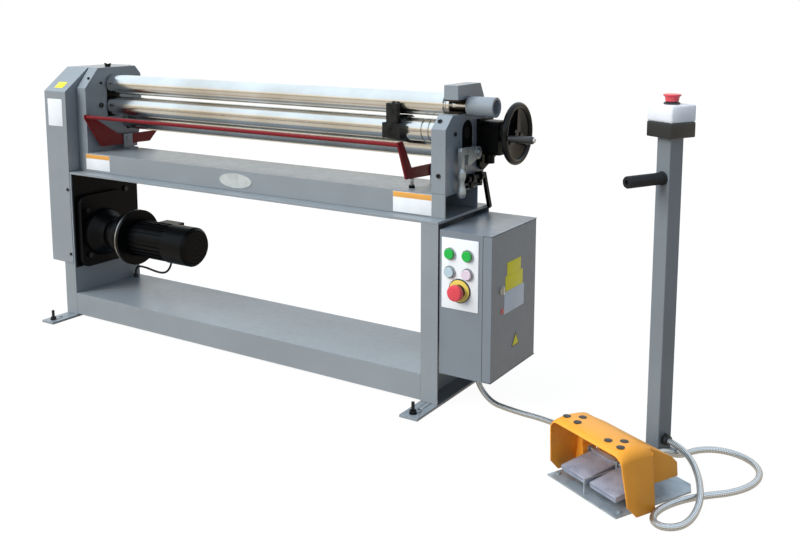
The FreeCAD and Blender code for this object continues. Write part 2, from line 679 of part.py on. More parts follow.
# Clamp lever: a cross rod along Y in two bosses, with a flat bar hanging from its rear end.
rod_xc = 14.0
rod_y0 = 96.0
rod_y1 = 204.0
bar_pts = [(rod_y1 - 7, cross_rod_z + 9), (rod_y1 + 6, cross_rod_z + 7),
           (rod_y1 + 47, cross_rod_z - 104), (rod_y1 + 34, cross_rod_z - 108)]
nodes["clamp_lever"] = fuse([rod_y(cross_rod_r, rod_y0, rod_y1, rod_xc, cross_rod_z),
                             rod_y(cross_rod_r + 4, rod_y0, rod_y0 + 14, rod_xc, cross_rod_z),
                             plate_x(bar_pts, rod_xc - 5, rod_xc + 5)])
tie_z = cross_rod_z - 22.0
for by in (118.0, 172.0):
    boss = fuse([rod_y(cross_rod_r + 6, by, by + 14, rod_xc, cross_rod_z),
                 box(0, rod_xc, by, by + 14, cross_rod_z - 10, cross_rod_z + 10),
                 box(rod_xc - 5, rod_xc + 5, by, by + 14, tie_z - 7, cross_rod_z - 9)])
    boss = boss.cut(rod_y(cross_rod_r + run_clear, by - 1, by + 15, rod_xc, cross_rod_z))
    lift_parts.append(boss.cut(rod_y(4.0, by - 1, by + 15, rod_xc, tie_z)))
lift_parts.append(rod_y(4.0, 98.0, 190.0, rod_xc, tie_z))
nodes["lift_gear_case"] = Part.makeCompound(lift_parts)

# Wing screw that pins the swivel block from the top of the left casting.
wing = fuse([
    rod_z(wing_r, swivel_z1 + 2, casting_top + 9, swing_x, roll_y),
    rod_z(10, casting_top + 0.5, casting_top + 7, swing_x, roll_y),
    plate_y([(swing_x - 15, casting_top + 14), (swing_x - 17, casting_top + 8),
             (swing_x - 5, casting_top + 5), (swing_x + 5, casting_top + 5),
             (swing_x + 17, casting_top + 8), (swing_x + 15, casting_top + 14),
             (swing_x, casting_top + 10)], roll_y - 2.5, roll_y + 2.5),
])
nodes["wing_screw"] = wing

# ---------------------------------------------------------------- guard bar
# A round bar in front of the rolls on two plates that pivot at the rear; pressing it stops
# the machine.  A spring under the right plate lifts it again.
bar_lx0 = left_in + bar_left_in
bar_lx1 = bar_lx0 + bar_plate_t
bar_rx1 = right_in - bar_right_in
bar_rx0 = bar_rx1 - bar_plate_t
left_plate = plate_x([
    (bar_rod_y - 9, bar_rod_z + 8), (bar_rod_y + 12, bar_rod_z + 7), *[
        (bar_pivot_y + dy, bar_pivot_z + dz) for dy, dz in (
            (-83, 47), (-36, 18), (39, 15), (152, 15), (110, -23), (-120, -17))],
    (bar_rod_y - 9, bar_rod_z - 6),
], bar_lx0, bar_lx1)
right_plate = plate_x([
    (bar_rod_y - 16, bar_rod_z + 9), (bar_rod_y + 11, bar_rod_z + 10), *[
        (bar_pivot_y + dy, bar_pivot_z + dz) for dy, dz in (
            (-123, 23), (30, 19), (30, -17), (-152, -7))],
], bar_rx0, bar_rx1)
guard_bar = fuse([rod_x(bar_rod_r, bar_lx0 - 4, bar_rx1 + 2, bar_rod_y, bar_rod_z),
                  left_plate, right_plate])
guard_bar = guard_bar.cut(rod_x(bar_pin_r + run_clear, bar_lx0 - 5, bar_rx1 + 5,
                                bar_pivot_y, bar_pivot_z))
nodes["guard_bar"] = guard_bar

brackets = []
for x0, side in ((bar_lx1 + 0.6, 1), (bar_rx1 + 0.6, 1)):
    br = fuse([
        box(x0, x0 + 5, bar_pivot_y - 20, bar_pivot_y + 20, bed_top, bar_pivot_z + 17),
        box(x0, x0 + 34, bar_pivot_y - 20, bar_pivot_y + 20, bed_top, bed_top + 5),
        rod_x(bar_pin_r, x0 - bar_plate_t - 3, x0, bar_pivot_y, bar_pivot_z),
        rod_x(bar_pin_r + 4, x0 - bar_plate_t - 5, x0 - bar_plate_t - 1.2,
              bar_pivot_y, bar_pivot_z),
        rod_x(bar_pin_r + 4, x0 + 5, x0 + 8, bar_pivot_y, bar_pivot_z),
    ])
    brackets.append(br)
nodes["bar_brackets"] = Part.makeCompound(brackets)

switch_x = (bar_rx0 + bar_rx1) / 2.0
switch_y = 48.0
bar_lower_z = bar_pivot_z - 7.0 - 10.0 * (switch_y - bar_pivot_y + 152.0) / 182.0
switch_cup_h = 8.0
nodes["bar_switch"] = fuse([
    rod_z(9.0, bed_top, bed_top + switch_cup_h, switch_x, switch_y),
    rod_z(3.5, bed_top + switch_cup_h, bar_lower_z - 9.0, switch_x, switch_y),
])
spring = rod_z(7.0, bed_top + switch_cup_h, bar_lower_z - 0.8, switch_x, switch_y)
nodes["bar_spring"] = spring.cut(rod_z(4.5, bed_top, bar_lower_z + 1, switch_x, switch_y))

# ---------------------------------------------------------------- drive
# Sheet cover over gears and chain, wrapped round the front of the left leg.
cover_x1 = left_out - cover_side_gap
cover_x0 = cover_x1 - cover_w
cover_y0 = stand_front - cover_t
cover_y1 = casting_rear + cover_t
t = cover_t
cover_outline = [(cover_y0, cover_bottom), (cover_y0, cover_slope_z),
                 (cover_slope_y, casting_top), (cover_y1, casting_top), (cover_y1, cover_bottom)]
inner_outline = [(cover_y0 + t, cover_bottom + t), (cover_y0 + t, cover_slope_z - 0.6 * t),
                 (cover_slope_y + 0.6 * t, casting_top - t), (cover_y1 - t, casting_top - t),
                 (cover_y1 - t, cover_bottom + t)]
cover = plate_x(cover_outline, cover_x0, cover_x1)
cover = cover.cut(plate_x(inner_outline, cover_x0 + t, cover_x1 - t))
# Its right wall is open behind the casting, where the gears are.
edge = 14.0
cover = cover.cut(plate_x([
    (edge, bed_top + edge), (edge, casting_top - casting_chamfer_z - edge / 2),
    (casting_chamfer_y + edge / 2, casting_top - edge), (casting_rear - edge, casting_top - edge),
    (casting_rear - edge, bed_top + edge)], cover_x1 - t - 1, cover_x1 + 1))
cover = cover.cut(box(lleg_x0 - 0.5, cover_x1 + 1, stand_front, cover_y1 + 1,
                      cover_bottom - 1, bed_bottom + 0.5))
nodes["drive_cover"] = cover.removeSplitter()

# Reducer with its square flange on the motor plate, adapter ring, finned motor, fan cowl.
plate_x0 = lleg_x1
plate_x1 = plate_x0 + motor_plate_t
motor_plate = box(plate_x0, plate_x1, stand_front + leg_t, stand_rear - 2, motor_plate_bottom,
                  shelf_bottom - 3)
nodes["motor_plate"] = motor_plate.cut(rod_x(hub_hole_r, plate_x0 - 1, plate_x1 + 1,
                                             motor_y, motor_z))
flange_x1 = plate_x1 + reducer_t
flange = box(plate_x1, flange_x1, motor_y - reducer_w / 2, motor_y + reducer_w / 2,
             motor_z - reducer_h / 2 + 14, motor_z + reducer_h / 2 + 14)
flange = round_edges(flange, 30.0, lambda e: e.BoundBox.XLength > reducer_t - 0.1
                     and e.BoundBox.YLength < 0.01 and e.BoundBox.ZLength < 0.01)
neck_x1 = flange_x1 + neck_len
ring_x1 = neck_x1 + ring_t
adapter_x1 = ring_x1 + adapter_len
disc_x1 = adapter_x1 + motor_disc_t
reducer = fuse([
    flange,
    turned_x([(flange_x1, 0), (flange_x1, neck_r + 38), (flange_x1 + 12, neck_r + 36),
              (flange_x1 + 47, neck_r + 10), (flange_x1 + 62, neck_r + 10),
              (flange_x1 + 66, neck_r), (neck_x1, neck_r), (neck_x1, ring_r),
              (ring_x1, ring_r), (ring_x1, adapter_r), (adapter_x1, adapter_r),
              (adapter_x1, 0)], motor_y, motor_z),
])
reducer = reducer.cut(rod_x(drive_shaft_r + run_clear, plate_x1 - 1, plate_x1 + 44,
                            motor_y, motor_z))
nodes["reducer"] = reducer

motor_x1 = disc_x1 + motor_len
motor_parts = [rod_x(motor_disc_r, adapter_x1, disc_x1, motor_y, motor_z),
               rod_x(motor_r, disc_x1, motor_x1, motor_y, motor_z)]
for k in range(fin_count):
    fin = box(disc_x1, motor_x1 - 4, -fin_t / 2, fin_t / 2, motor_r - 3, motor_r + fin_h)
    fin.rotate(vec(0, 0, 0), vec(1, 0, 0), 360.0 * (k + 0.5) / fin_count)
    fin.translate(vec(0, motor_y, motor_z))
    motor_parts.append(fin)
term_x0 = disc_x1 + 32
term_x1 = term_x0 + 86
term_y1 = motor_y + motor_r + 50
term_z0 = motor_z - 40
motor_parts.append(box(term_x0, term_x1, motor_y + motor_r - 12, term_y1, term_z0, motor_z + 48))
motor_body = fuse(motor_parts)
cowl_x1 = motor_x1 + cowl_len
cowl = turned_x([(motor_x1, motor_r - 12), (motor_x1, cowl_r), (cowl_x1 - 10, cowl_r),
                 (cowl_x1, cowl_r - 9), (cowl_x1, 0), (cowl_x1 - 2, 0),
                 (cowl_x1 - 2, cowl_r - 11), (cowl_x1 - 10.5, cowl_r - 2),
                 (motor_x1 + 3, cowl_r - 2), (motor_x1 + 3, motor_r - 12)], motor_y, motor_z)
nodes["motor"] = Part.makeCompound([motor_body, cowl])

# Output shaft with the small sprocket, and the roller chain up to the lower roll.
sprocket = toothed(sprocket_x - sprocket_t / 2, sprocket_x + sprocket_t / 2, motor_y, motor_z,
                   sprocket_teeth, small_pitch_r - chain_t / 2 - chain_clear,
                   small_pitch_r - chain_t / 2 - 4.0, 4.0, 8.0, drive_shaft_r, 0.0)
nodes["drive_sprocket"] = fuse([
    sprocket, rod_x(drive_shaft_r, sprocket_x - sprocket_t / 2 - 8, plate_x1 + 40,
                    motor_y, motor_z),
    rod_x(drive_shaft_r + 6, sprocket_x + sprocket_t / 2, sprocket_x + sprocket_t / 2 + 8,
          motor_y, motor_z)])


def belt_outline(r1, r2):
    """Closed outline round two circles of radius r1 (motor) and r2 (roll), as (Y, Z)."""
    dy = roll_y - motor_y
    dz = lower_z - motor_z
    dist = math.hypot(dy, dz)
    base = math.atan2(dz, dy)
    tilt = math.acos((r1 - r2) / dist)
    pts = []
    for k in range(17):
        a = base + tilt + (2 * math.pi - 2 * tilt) * k / 16.0
        pts.append((motor_y + r1 * math.cos(a), motor_z + r1 * math.sin(a)))
    for k in range(17):
        a = base - tilt + 2 * tilt * k / 16.0
        pts.append((roll_y + r2 * math.cos(a), lower_z + r2 * math.sin(a)))
    return pts


chain = plate_x(belt_outline(small_pitch_r + chain_t / 2, big_pitch_r + chain_t / 2),
                sprocket_x - chain_w / 2, sprocket_x + chain_w / 2)
inner_chain = plate_x(belt_outline(small_pitch_r - chain_t / 2, big_pitch_r - chain_t / 2),
                      sprocket_x - chain_w, sprocket_x + chain_w)
nodes["drive_chain"] = chain.cut(inner_chain)

# ---------------------------------------------------------------- cabinet
# Folded sheet box beside the right leg; its right side is a door that wraps the front corner.
cab_x1 = cab_x0 + cab_w
cab_y1 = cab_front + cab_depth
cab_z0 = cab_top - cab_h
cabinet = box(cab_x0, cab_x1, cab_front, cab_y1, cab_z0, cab_top)
cabinet = cabinet.cut(box(cab_x0 + cab_t, cab_x1 + 1, cab_front + cab_t, cab_y1 - cab_t,
                          cab_z0 + cab_t, cab_top - cab_t))
seam_x = cab_x1 - door_return
cabinet = cabinet.cut(box(seam_x, cab_x1 + 1, cab_front - 1, cab_front + cab_t + 1,
                          cab_z0 + cab_t, cab_top - cab_t))
cabinet = cabinet.cut(box(cab_x1 - cab_t - door_gap, cab_x1 + 1, cab_front - 1, cab_y1 + 1,
                          cab_z0 + cab_t, cab_top - cab_t))
# The rear wall ends short of the door's hinge barrel, so the door can swing past square.
cabinet = cabinet.cut(box(cab_x1 - hinge_r - door_gap, cab_x1 + 1, cab_y1 - cab_t - 1, cab_y1 + 1,
                          cab_z0 + cab_t, cab_top - cab_t))
for z0 in (cab_z0 + 60, cab_top - 80):
    cabinet = cabinet.fuse(box(rleg_x1, cab_x0, cab_front + 30, cab_y1 - 30, z0, z0 + 20))
cabinet = cabinet.cut(rod_z(conduit_r + 2, cab_z0 - 1, cab_z0 + cab_t + 1, pipe_x, pipe_y))
for bx in button_cols:
    for bz in button_rows:
        cabinet = cabinet.cut(rod_y(8.0, cab_front - 1, cab_front + cab_t + 1, bx, bz))
cabinet = cabinet.cut(rod_y(9.0, cab_front - 1, cab_front + cab_t + 1, estop_x, estop_z))
hinge_y = cab_y1 - cab_t - hinge_r - 0.4
hinge_x = cab_x1 - hinge_r
cabinet = cabinet.fuse(rod_z(hinge_pin_r, cab_z0, cab_top - cab_t / 2, hinge_x, hinge_y))
catch_x1 = cab_x1 - 12.0
catch_z0 = latch_z - 57.0
catch_z1 = latch_z + 53.0
cabinet = cabinet.fuse(fuse([
    box(seam_x - 8, catch_x1, cab_front + cab_t, cab_front + cab_t + 3, catch_z0, catch_z1).cut(
        box(seam_x - 0.5, catch_x1 + 1, cab_front + cab_t - 1, cab_front + cab_t + 0.6,
            catch_z0 - 1, catch_z1 + 1)),
    box(catch_x1 - 2, catch_x1, cab_front + cab_t + 0.6, latch_y - 18, catch_z0, catch_z1),
]))
nodes["cabinet"] = cabinet.removeSplitter()

door_z0 = cab_z0 + cab_t + door_gap
door_z1 = cab_top - cab_t - door_gap
door = fuse([
    box(cab_x1 - cab_t, cab_x1, cab_front, hinge_y, door_z0, door_z1),
    box(seam_x + door_gap, cab_x1, cab_front, cab_front + cab_t, door_z0, door_z1),
    rod_z(hinge_r, door_z0, door_z1, hinge_x, hinge_y),
])
door = door.cut(rod_z(hinge_pin_r + run_clear, door_z0 - 1, door_z1 + 1, hinge_x, hinge_y))
door = door.cut(rod_x(latch_r + run_clear, cab_x1 - 5, cab_x1 + 1, latch_y, latch_z))
nodes["cabinet_door"] = door
nodes["door_latch"] = fuse([
    rod_x(latch_r, catch_x1 - 3.5, cab_x1 + 0.5, latch_y, latch_z),
    rod_x(latch_r + 3, cab_x1 + 0.5, cab_x1 + 3.5, latch_y, latch_z),
    box(cab_x1 + 3.5, cab_x1 + 9, latch_y - 3, latch_y + 3, latch_z - 11, latch_z + 11),
    box(catch_x1 - 6, catch_x1 - 3.5, latch_y - 5, latch_y + 5, latch_z - 34, latch_z + 5),
])

# Electrical gear on a back plate: contactors, transformer and a terminal strip.
gear_z0 = cab_z0 + 70
gear_y0 = cab_front + 43.0
electrics = [box(cab_x0 + 8, cab_x0 + 10, gear_y0, cab_y1 - 30, gear_z0, gear_z0 + 210)]
for y0 in (gear_y0 + 40, gear_y0 + 160):
    electrics.append(box(cab_x0 + cab_t, cab_x0 + 8, y0, y0 + 20, gear_z0 + 20, gear_z0 + 180))
for k in range(3):
    y0 = gear_y0 + 30 + 56 * k
    electrics.append(box(cab_x0 + 10, cab_x0 + 82, y0, y0 + 46, gear_z0 + 120, gear_z0 + 196))
electrics.append(box(cab_x0 + 10, cab_x0 + 72, gear_y0 + 26, gear_y0 + 106,
                     gear_z0 + 10, gear_z0 + 86))
electrics.append(box(cab_x0 + 10, cab_x0 + 44, gear_y0 + 120, gear_y0 + 200,
                     gear_z0 + 20, gear_z0 + 56))
nodes["electrics"] = fuse(electrics)

# Push buttons: each cap slides in a bezel that stands on the white panel plate.
panel_x0 = cab_x0 + 8.0
panel_x1 = panel_x0 + panel_w
panel_z1 = cab_top - 19.0
panel_z0 = panel_z1 - panel_h
panel_y = cab_front - panel_t
bezels = []
caps = ["button_green_left", "button_green_right", "button_white_left", "button_white_right"]
for row, bz in enumerate(button_rows):
    for col, bx in enumerate(button_cols):
        bezel = rod_y(bezel_r, panel_y - 6, panel_y, bx, bz)
        bezels.append(bezel.cut(rod_y(button_r + run_clear, panel_y - 7, panel_y - 1.0, bx, bz))
                      .cut(rod_y(6.0 + run_clear, panel_y - 7, panel_y + 1, bx, bz)))
        cap = fuse([
            rod_y(button_r, panel_y - 12, panel_y - 5, bx, bz),
            rod_y(6.0, panel_y - 5, cab_front + cab_t + 10, bx, bz),
        ])
        nodes[caps[2 * row + col]] = cap
collar = rod_y(estop_collar_r, panel_y - 4, panel_y, estop_x, estop_z)
collar = collar.fuse(rod_y(16.0, panel_y - 13, panel_y - 4, estop_x, estop_z))
collar = collar.cut(rod_y(8.0 + run_clear, panel_y - 14, panel_y + 1, estop_x, estop_z))
nodes["button_bezels"] = Part.makeCompound(bezels)
nodes["estop_collar"] = collar
head_y = panel_y - 36.0
nodes["estop_head"] = fuse([
    rod_y(estop_head_r, head_y, head_y + 16, estop_x, estop_z),
    rod_y(13.0, head_y + 16, head_y + 18, estop_x, estop_z),
    rod_y(8.0, head_y + 18, cab_front + cab_t + 12, estop_x, estop_z),
])

# ---------------------------------------------------------------- plates and screws
# Blank plates: the control panel, two on the bed, two on the cover and an oval badge.
panel = box(panel_x0, panel_x1, panel_y, cab_front, panel_z0, panel_z1)
for bx in button_cols:
    for bz in button_rows:
        panel = panel.cut(rod_y(7.0, panel_y - 1, cab_front + 1, bx, bz))
panel = panel.cut(rod_y(8.5, panel_y - 1, cab_front + 1, estop_x, estop_z))
plate_t = 1.0
plates = [panel,
          box(left_in - 12, left_in + 112, -plate_t, 0, bed_bottom + 8, bed_top - 4),
          box(-174, -44, -plate_t, 0, bed_bottom + 4, bed_top - 4),
          box(cover_x0 + 17, cover_x0 + 94, cover_y0 - plate_t, cover_y0,
              cover_slope_z - 127, cover_slope_z - 27)]
badge_x = -782.0
badge_z = (bed_top + bed_bottom) / 2.0
badge = Part.Ellipse(vec(0, 0, 0), 69.0, 24.0).toShape()
badge = Part.Face(Part.Wire([badge])).extrude(vec(0, 0, plate_t))
badge.rotate(vec(0, 0, 0), vec(1, 0, 0), 90)
badge.translate(vec(badge_x, 0, badge_z))
plates.append(badge)
nodes["blank_plates"] = Part.makeCompound(plates)
nodes["door_plates"] = Part.makeCompound([
    box(cab_x1, cab_x1 + plate_t, cab_front + 93, cab_front + 179, cab_top - 116, cab_top - 68),
    box(cab_x1, cab_x1 + plate_t, cab_front + 85, cab_front + 193, cab_top - 172, cab_top - 118),
    box(cab_x1, cab_x1 + plate_t, cab_front + 81, cab_front + 205, cab_top - 248, cab_top - 174),
    plate_x([(cab_front + 127, cab_z0 + 82), (cab_front + 177, cab_z0 + 76),
             (cab_front + 153, cab_z0 + 128)], cab_x1, cab_x1 + plate_t),
])

# Socket and hexagon screws of the castings, the cover and the motor plate.
for sy, sz in ((71, casting_top - 55), (15, casting_top - 35)):
    fasteners.append(rod_x(5.0, left_in, left_in + 4, sy, sz))
fasteners.append(ring_x(9.0, 4.0, left_in, left_in + 5, 68, lower_z + 4))
fasteners.append(rod_x(5.5, 0, 4, 52, lower_z + 4))
for sz in (bed_bottom - 65.0, cover_bottom + 34.0):
    fasteners.append(rod_y(5.0, cover_y0 - 4, cover_y0, cover_x1 - 10, sz))
for sy, sz in ((125, 141), (-72, -74), (125, -74), (-76, 92)):
    x0 = flange_x1 if abs(sy) < reducer_w / 2 else plate_x1
    fasteners.append(hex_x(17.0, x0, x0 + 9, motor_y + sy, motor_z + sz))
nodes["fasteners"] = Part.makeCompound(fasteners)

# ---------------------------------------------------------------- pedal unit
# Modelled about its own centre with U to its right, V to its rear, then turned and placed.
place = FreeCAD.Placement(vec(ped_x, ped_y, 0), FreeCAD.Rotation(vec(0, 0, 1), ped_turn))


def put(shape):
    out = shape.copy()
    out.Placement = place.multiply(out.Placement)
    return out


def local_point(u, v, z):
    return place.multVec(vec(u, v, z))


post_u0 = post_u - post_w / 2
post_u1 = post_u + post_w / 2
post_v0 = post_v - post_w / 2
post_v1 = post_v + post_w / 2
support_u = pedal_gap / 2 + pedal_w + 6.0
base = box(-ped_w / 2, ped_w / 2, -ped_d / 2, ped_d / 2, 0, ped_t)
base = base.makeChamfer(26.0, [e for e in base.Edges if e.BoundBox.ZLength > ped_t - 0.1
                               and e.BoundBox.XMin > 0 and e.BoundBox.YMin > 0])
base_parts = [
    base,
    box(post_u0 - 22, post_u1 + 22, ped_d / 2 - 2, post_v1 + 14, 0, ped_t),
    rod_x(pedal_pin_r, -support_u, support_u, pedal_hinge_v, pedal_hinge_z),
]
for u, half in ((-support_u, 3.5), (0.0, 3.0), (support_u, 3.5)):
    base_parts.append(box(u - half, u + half, pedal_hinge_v - 9, pedal_hinge_v + 9,
                          ped_t, pedal_hinge_z + 8))
for u in (-ped_w / 2 + 14, ped_w / 2 - 14):
    base_parts.append(rod_z(5.0, ped_t, ped_t + 4, u, -ped_d / 2 + 22))
# Bent wire divider between the pedals.
wire_r = 2.0
wire_v = -ped_d / 2 + 12.0
base_parts.append(rod_z(wire_r, ped_t - 1, pedal_hinge_z - 12, 0, wire_v))
base_parts.append(rod_y(wire_r, wire_v, pedal_hinge_v - 8, 0, pedal_hinge_z - 12))
base_parts.append(Part.makeSphere(wire_r, vec(0, wire_v, pedal_hinge_z - 12)))
nodes["pedal_base"] = put(fuse(base_parts))

for name, side in (("pedal_left", -1), ("pedal_right", 1)):
    u0 = side * (pedal_gap / 2 + pedal_w / 2) - pedal_w / 2
    under = pedal_hinge_z - pedal_pin_r - 4
    tread = box(u0, u0 + pedal_w, pedal_hinge_v - pedal_l + 8, pedal_hinge_v + 6,
                under, under + pedal_t)
    tread = round_edges(tread, 3.0, lambda e: e.BoundBox.ZLength > pedal_t - 0.1)
    pedal = fuse([tread,
                  rod_x(pedal_pin_r + 4, u0 + 4, u0 + 20, pedal_hinge_v, pedal_hinge_z),
                  rod_x(pedal_pin_r + 4, u0 + pedal_w - 20, u0 + pedal_w - 4,
                        pedal_hinge_v, pedal_hinge_z)])
    pedal = pedal.cut(rod_x(pedal_pin_r + run_clear, u0 - 1, u0 + pedal_w + 1,
                            pedal_hinge_v, pedal_hinge_z))
    pedal.rotate(vec(0, pedal_hinge_v, pedal_hinge_z), vec(1, 0, 0), pedal_tilt)
    nodes[name] = put(pedal)

# Guard: a moulded hood over the pedals, open in front.  Its side walls thicken towards the
# floor and its rear half is narrower, slopes down and stands clear of the floor.


def hood(foot_half, top_half, front, rear, low, shrink):
    """Hood section between two V planes, with rounded upper edges."""
    top = guard_h - shrink
    prof = plate_y([(guard_u - foot_half, low), (guard_u + foot_half, low),
                    (guard_u + top_half, top), (guard_u - top_half, top)], front, rear)
    return round_edges(prof, max(guard_corner_r - shrink, 2.0),
                       lambda e: e.BoundBox.YLength > rear - front - 0.1
                       and e.BoundBox.ZMin > top - 0.1)


def slope(shrink, low):
    """Side outline of the rear half, used to trim its roof."""
    drop = (guard_h - guard_rear_h) / (guard_rear - guard_flat_end)
    top = guard_h - shrink
    end = guard_rear + 30.0
    return plate_x([(guard_front - 10, low), (guard_front - 10, top), (guard_flat_end, top),
                    (end, top - drop * (end - guard_flat_end)), (end, low)], -400, 400)


foot_half = guard_bottom_w / 2
top_half = guard_top_w / 2
inset = guard_rear_inset
overlap = 4.0
front_hood = hood(foot_half, top_half, guard_front, guard_flat_end, guard_floor_gap, 0.0)
front_hood = front_hood.cut(hood(foot_half - guard_side_t, top_half - guard_t,
                                 guard_front - 2, guard_flat_end + 2,
                                 guard_floor_gap - 2, guard_t))
front_hood = front_hood.cut(plate_x([
    (guard_front + 90, guard_floor_gap - 1), (guard_flat_end + 1, guard_floor_gap - 1),
    (guard_flat_end + 1, guard_rise)], -400, 400))
rear_foot = foot_half - inset - 8.0
rear_hood = hood(rear_foot, top_half - inset, guard_flat_end - overlap, guard_rear,
                 guard_rise, 0.0)
rear_hood = rear_hood.cut(hood(rear_foot - guard_t, top_half - inset - guard_t,
                               guard_flat_end - overlap - 1, guard_rear - guard_t,
                               guard_rise - 2, guard_t))
rear_hood = rear_hood.common(slope(0.0, guard_rise - 1))
inner_roof = hood(rear_foot - guard_t, top_half - inset - guard_t, guard_flat_end,
                  guard_rear - guard_t, guard_rise - 2, guard_t)
roof = hood(rear_foot, top_half - inset, guard_flat_end - overlap, guard_rear,
            guard_rise, 0.0).common(slope(0.0, guard_rise - 1))
roof = roof.cut(slope(guard_t * 1.2, guard_rise - 3))
link = hood(foot_half, top_half, guard_flat_end - overlap, guard_flat_end, guard_rise, 0.0)
link = link.cut(hood(rear_foot - guard_t, top_half - inset - guard_t,
                     guard_flat_end - overlap - 1, guard_flat_end + 1, guard_rise - 2, guard_t))
side_port_v = 52.0
side_port_z = 60.0
rear_port_u = 0.0
rear_port_z = 49.0
port_r = conduit_r + 1.5
guard = fuse([front_hood, rear_hood, roof, link])
guard = guard.cut(rod_x(port_r, guard_u - foot_half, guard_u - foot_half + 60,
                        side_port_v, side_port_z))
guard = guard.cut(rod_y(port_r, guard_rear - 8, guard_rear + 2, rear_port_u, rear_port_z))
tab_u = foot_half - guard_side_t + 6.0
for side in (-1, 1):
    u0 = guard_u + side * tab_u
    u1 = side * (ped_w / 2 - 4.0)
    guard = guard.fuse(box(min(u0, u1) - 6, max(u0, u1) + 6, guard_front + 30,
                           guard_front + 50, ped_t, guard_floor_gap + 4))
nodes["pedal_guard"] = put(guard.removeSplitter())

# Square post behind the pedals with a grip and an emergency-stop box on top.
post_z0 = ped_t + post_foot_t
post_top = ped_t + post_h
post = box(post_u0, post_u1, post_v0, post_v1, post_z0, post_top)
post = post.cut(box(post_u0 + post_wall, post_u1 - post_wall, post_v0 + post_wall,
                    post_v1 - post_wall, post_z0 - 1, post_top + 1))
post = fuse([post, box(post_u0 - 14, post_u1 + 14, post_v0 - 10, post_v1 + 10,
                       ped_t, post_z0)])
box_z1 = post_top + box_low_h
box_z2 = box_z1 + box_high_h
box_half = box_w / 2


def shell(z0, z1, floor, roof_t):
    """Square box wall with a floor or a roof of its own."""
    outer = box(post_u - box_half, post_u + box_half, post_v - box_half, post_v + box_half,
                z0, z1)
    outer = round_edges(outer, 4.0, lambda e: e.BoundBox.ZLength > z1 - z0 - 0.1)
    return outer.cut(box(post_u - box_half + 4, post_u + box_half - 4, post_v - box_half + 4,
                         post_v + box_half - 4, z0 + floor, z1 - roof_t))


lower_box = shell(post_top, box_z1, 4.0, -1.0)
lid = shell(box_z1, box_z2, -1.0, 4.0).cut(rod_z(9.0, box_z1, box_z2 + 1, post_u, post_v))
stem_r = 7.0
legend = rod_z(legend_r, box_z2, box_z2 + 1.5, post_u, post_v)
legend = legend.fuse(rod_z(15.0, box_z2 + 1.5, box_z2 + 12, post_u, post_v))
legend = legend.cut(rod_z(stem_r + run_clear, box_z2 - 1, box_z2 + 13, post_u, post_v))
grip_bar = fuse([
    rod_y(hand_grip_r, post_v0 - hand_grip_len, post_v0 - 4, post_u, hand_grip_z),
    rod_y(hand_grip_r + 3, post_v0 - 4, post_v0, post_u, hand_grip_z),
])
nodes["post"] = put(post)
nodes["post_fittings"] = put(Part.makeCompound([grip_bar, lower_box]))
nodes["stop_box_lid"] = put(Part.makeCompound([lid, legend]))
head_z = box_z2 + 18.0
nodes["post_stop_head"] = put(fuse([
    rod_z(stem_r, box_z1 + 6, head_z, post_u, post_v),
    Part.makeCone(17.0, post_head_r, 16.0, vec(post_u, post_v, head_z), vec(0, 0, 1)),
    rod_z(post_head_r, head_z + 16, head_z + 19, post_u, post_v),
]))

# ---------------------------------------------------------------- glands and cables
# A gland is a hexagon against the wall and a round nut on the cable.


def gland(at, direction, cable_r):
    """Cable gland at a wall point, pointing out along the given direction."""
    d = FreeCAD.Vector(direction)
    d.normalize()
    body = rod_z(cable_r + 4.5, 0, gland_len, 0, 0)
    nut = hex_x((cable_r + 6.0) * 2, 0, 5.0, 0, 0)
    nut.rotate(vec(0, 0, 0), vec(0, 1, 0), -90)
    shape = fuse([body, nut])
    shape.Placement = FreeCAD.Placement(at, FreeCAD.Rotation(vec(0, 0, 1), d))
    return shape


def cable(points, radius, name):
    """Tube along straight runs joined by arcs as large as the runs allow."""
    pts = [FreeCAD.Vector(p) for p in points]
    edges = []
    radii = []
    length = 0.0
    start = pts[0]
    for i in range(1, len(pts) - 1):
        a = pts[i - 1].sub(pts[i])
        b = pts[i + 1].sub(pts[i])
        trim = 0.45 * min(a.Length, b.Length)
        a.normalize()
        b.normalize()
        half_turn = (math.pi - a.getAngle(b)) / 2.0
        arc_r = trim / math.tan(half_turn)
        radii.append(round(arc_r, 1))
        out = a.add(b)
        out.normalize()
        centre = pts[i].add(out * (arc_r / math.cos(half_turn)))
        p0 = pts[i].add(a * trim)
        p1 = pts[i].add(b * trim)
        edges.append(Part.LineSegment(start, p0).toShape())
        edges.append(Part.Arc(p0, centre.sub(out * arc_r), p1).toShape())
        length += start.distanceToPoint(p0) + arc_r * 2.0 * half_turn
        start = p1
    edges.append(Part.LineSegment(start, pts[-1]).toShape())
    length += start.distanceToPoint(pts[-1])
    ring = Part.Wire([Part.Circle(pts[0], pts[1].sub(pts[0]), radius).toShape()])
    tube = Part.Wire(edges).makePipeShell([ring], True, False)
    ratio = tube.Volume / (math.pi * radius ** 2 * length)
    print(name, "length", round(length, 1), "volume ratio", round(ratio, 4))
    print("   arc radii", radii)
    return tube


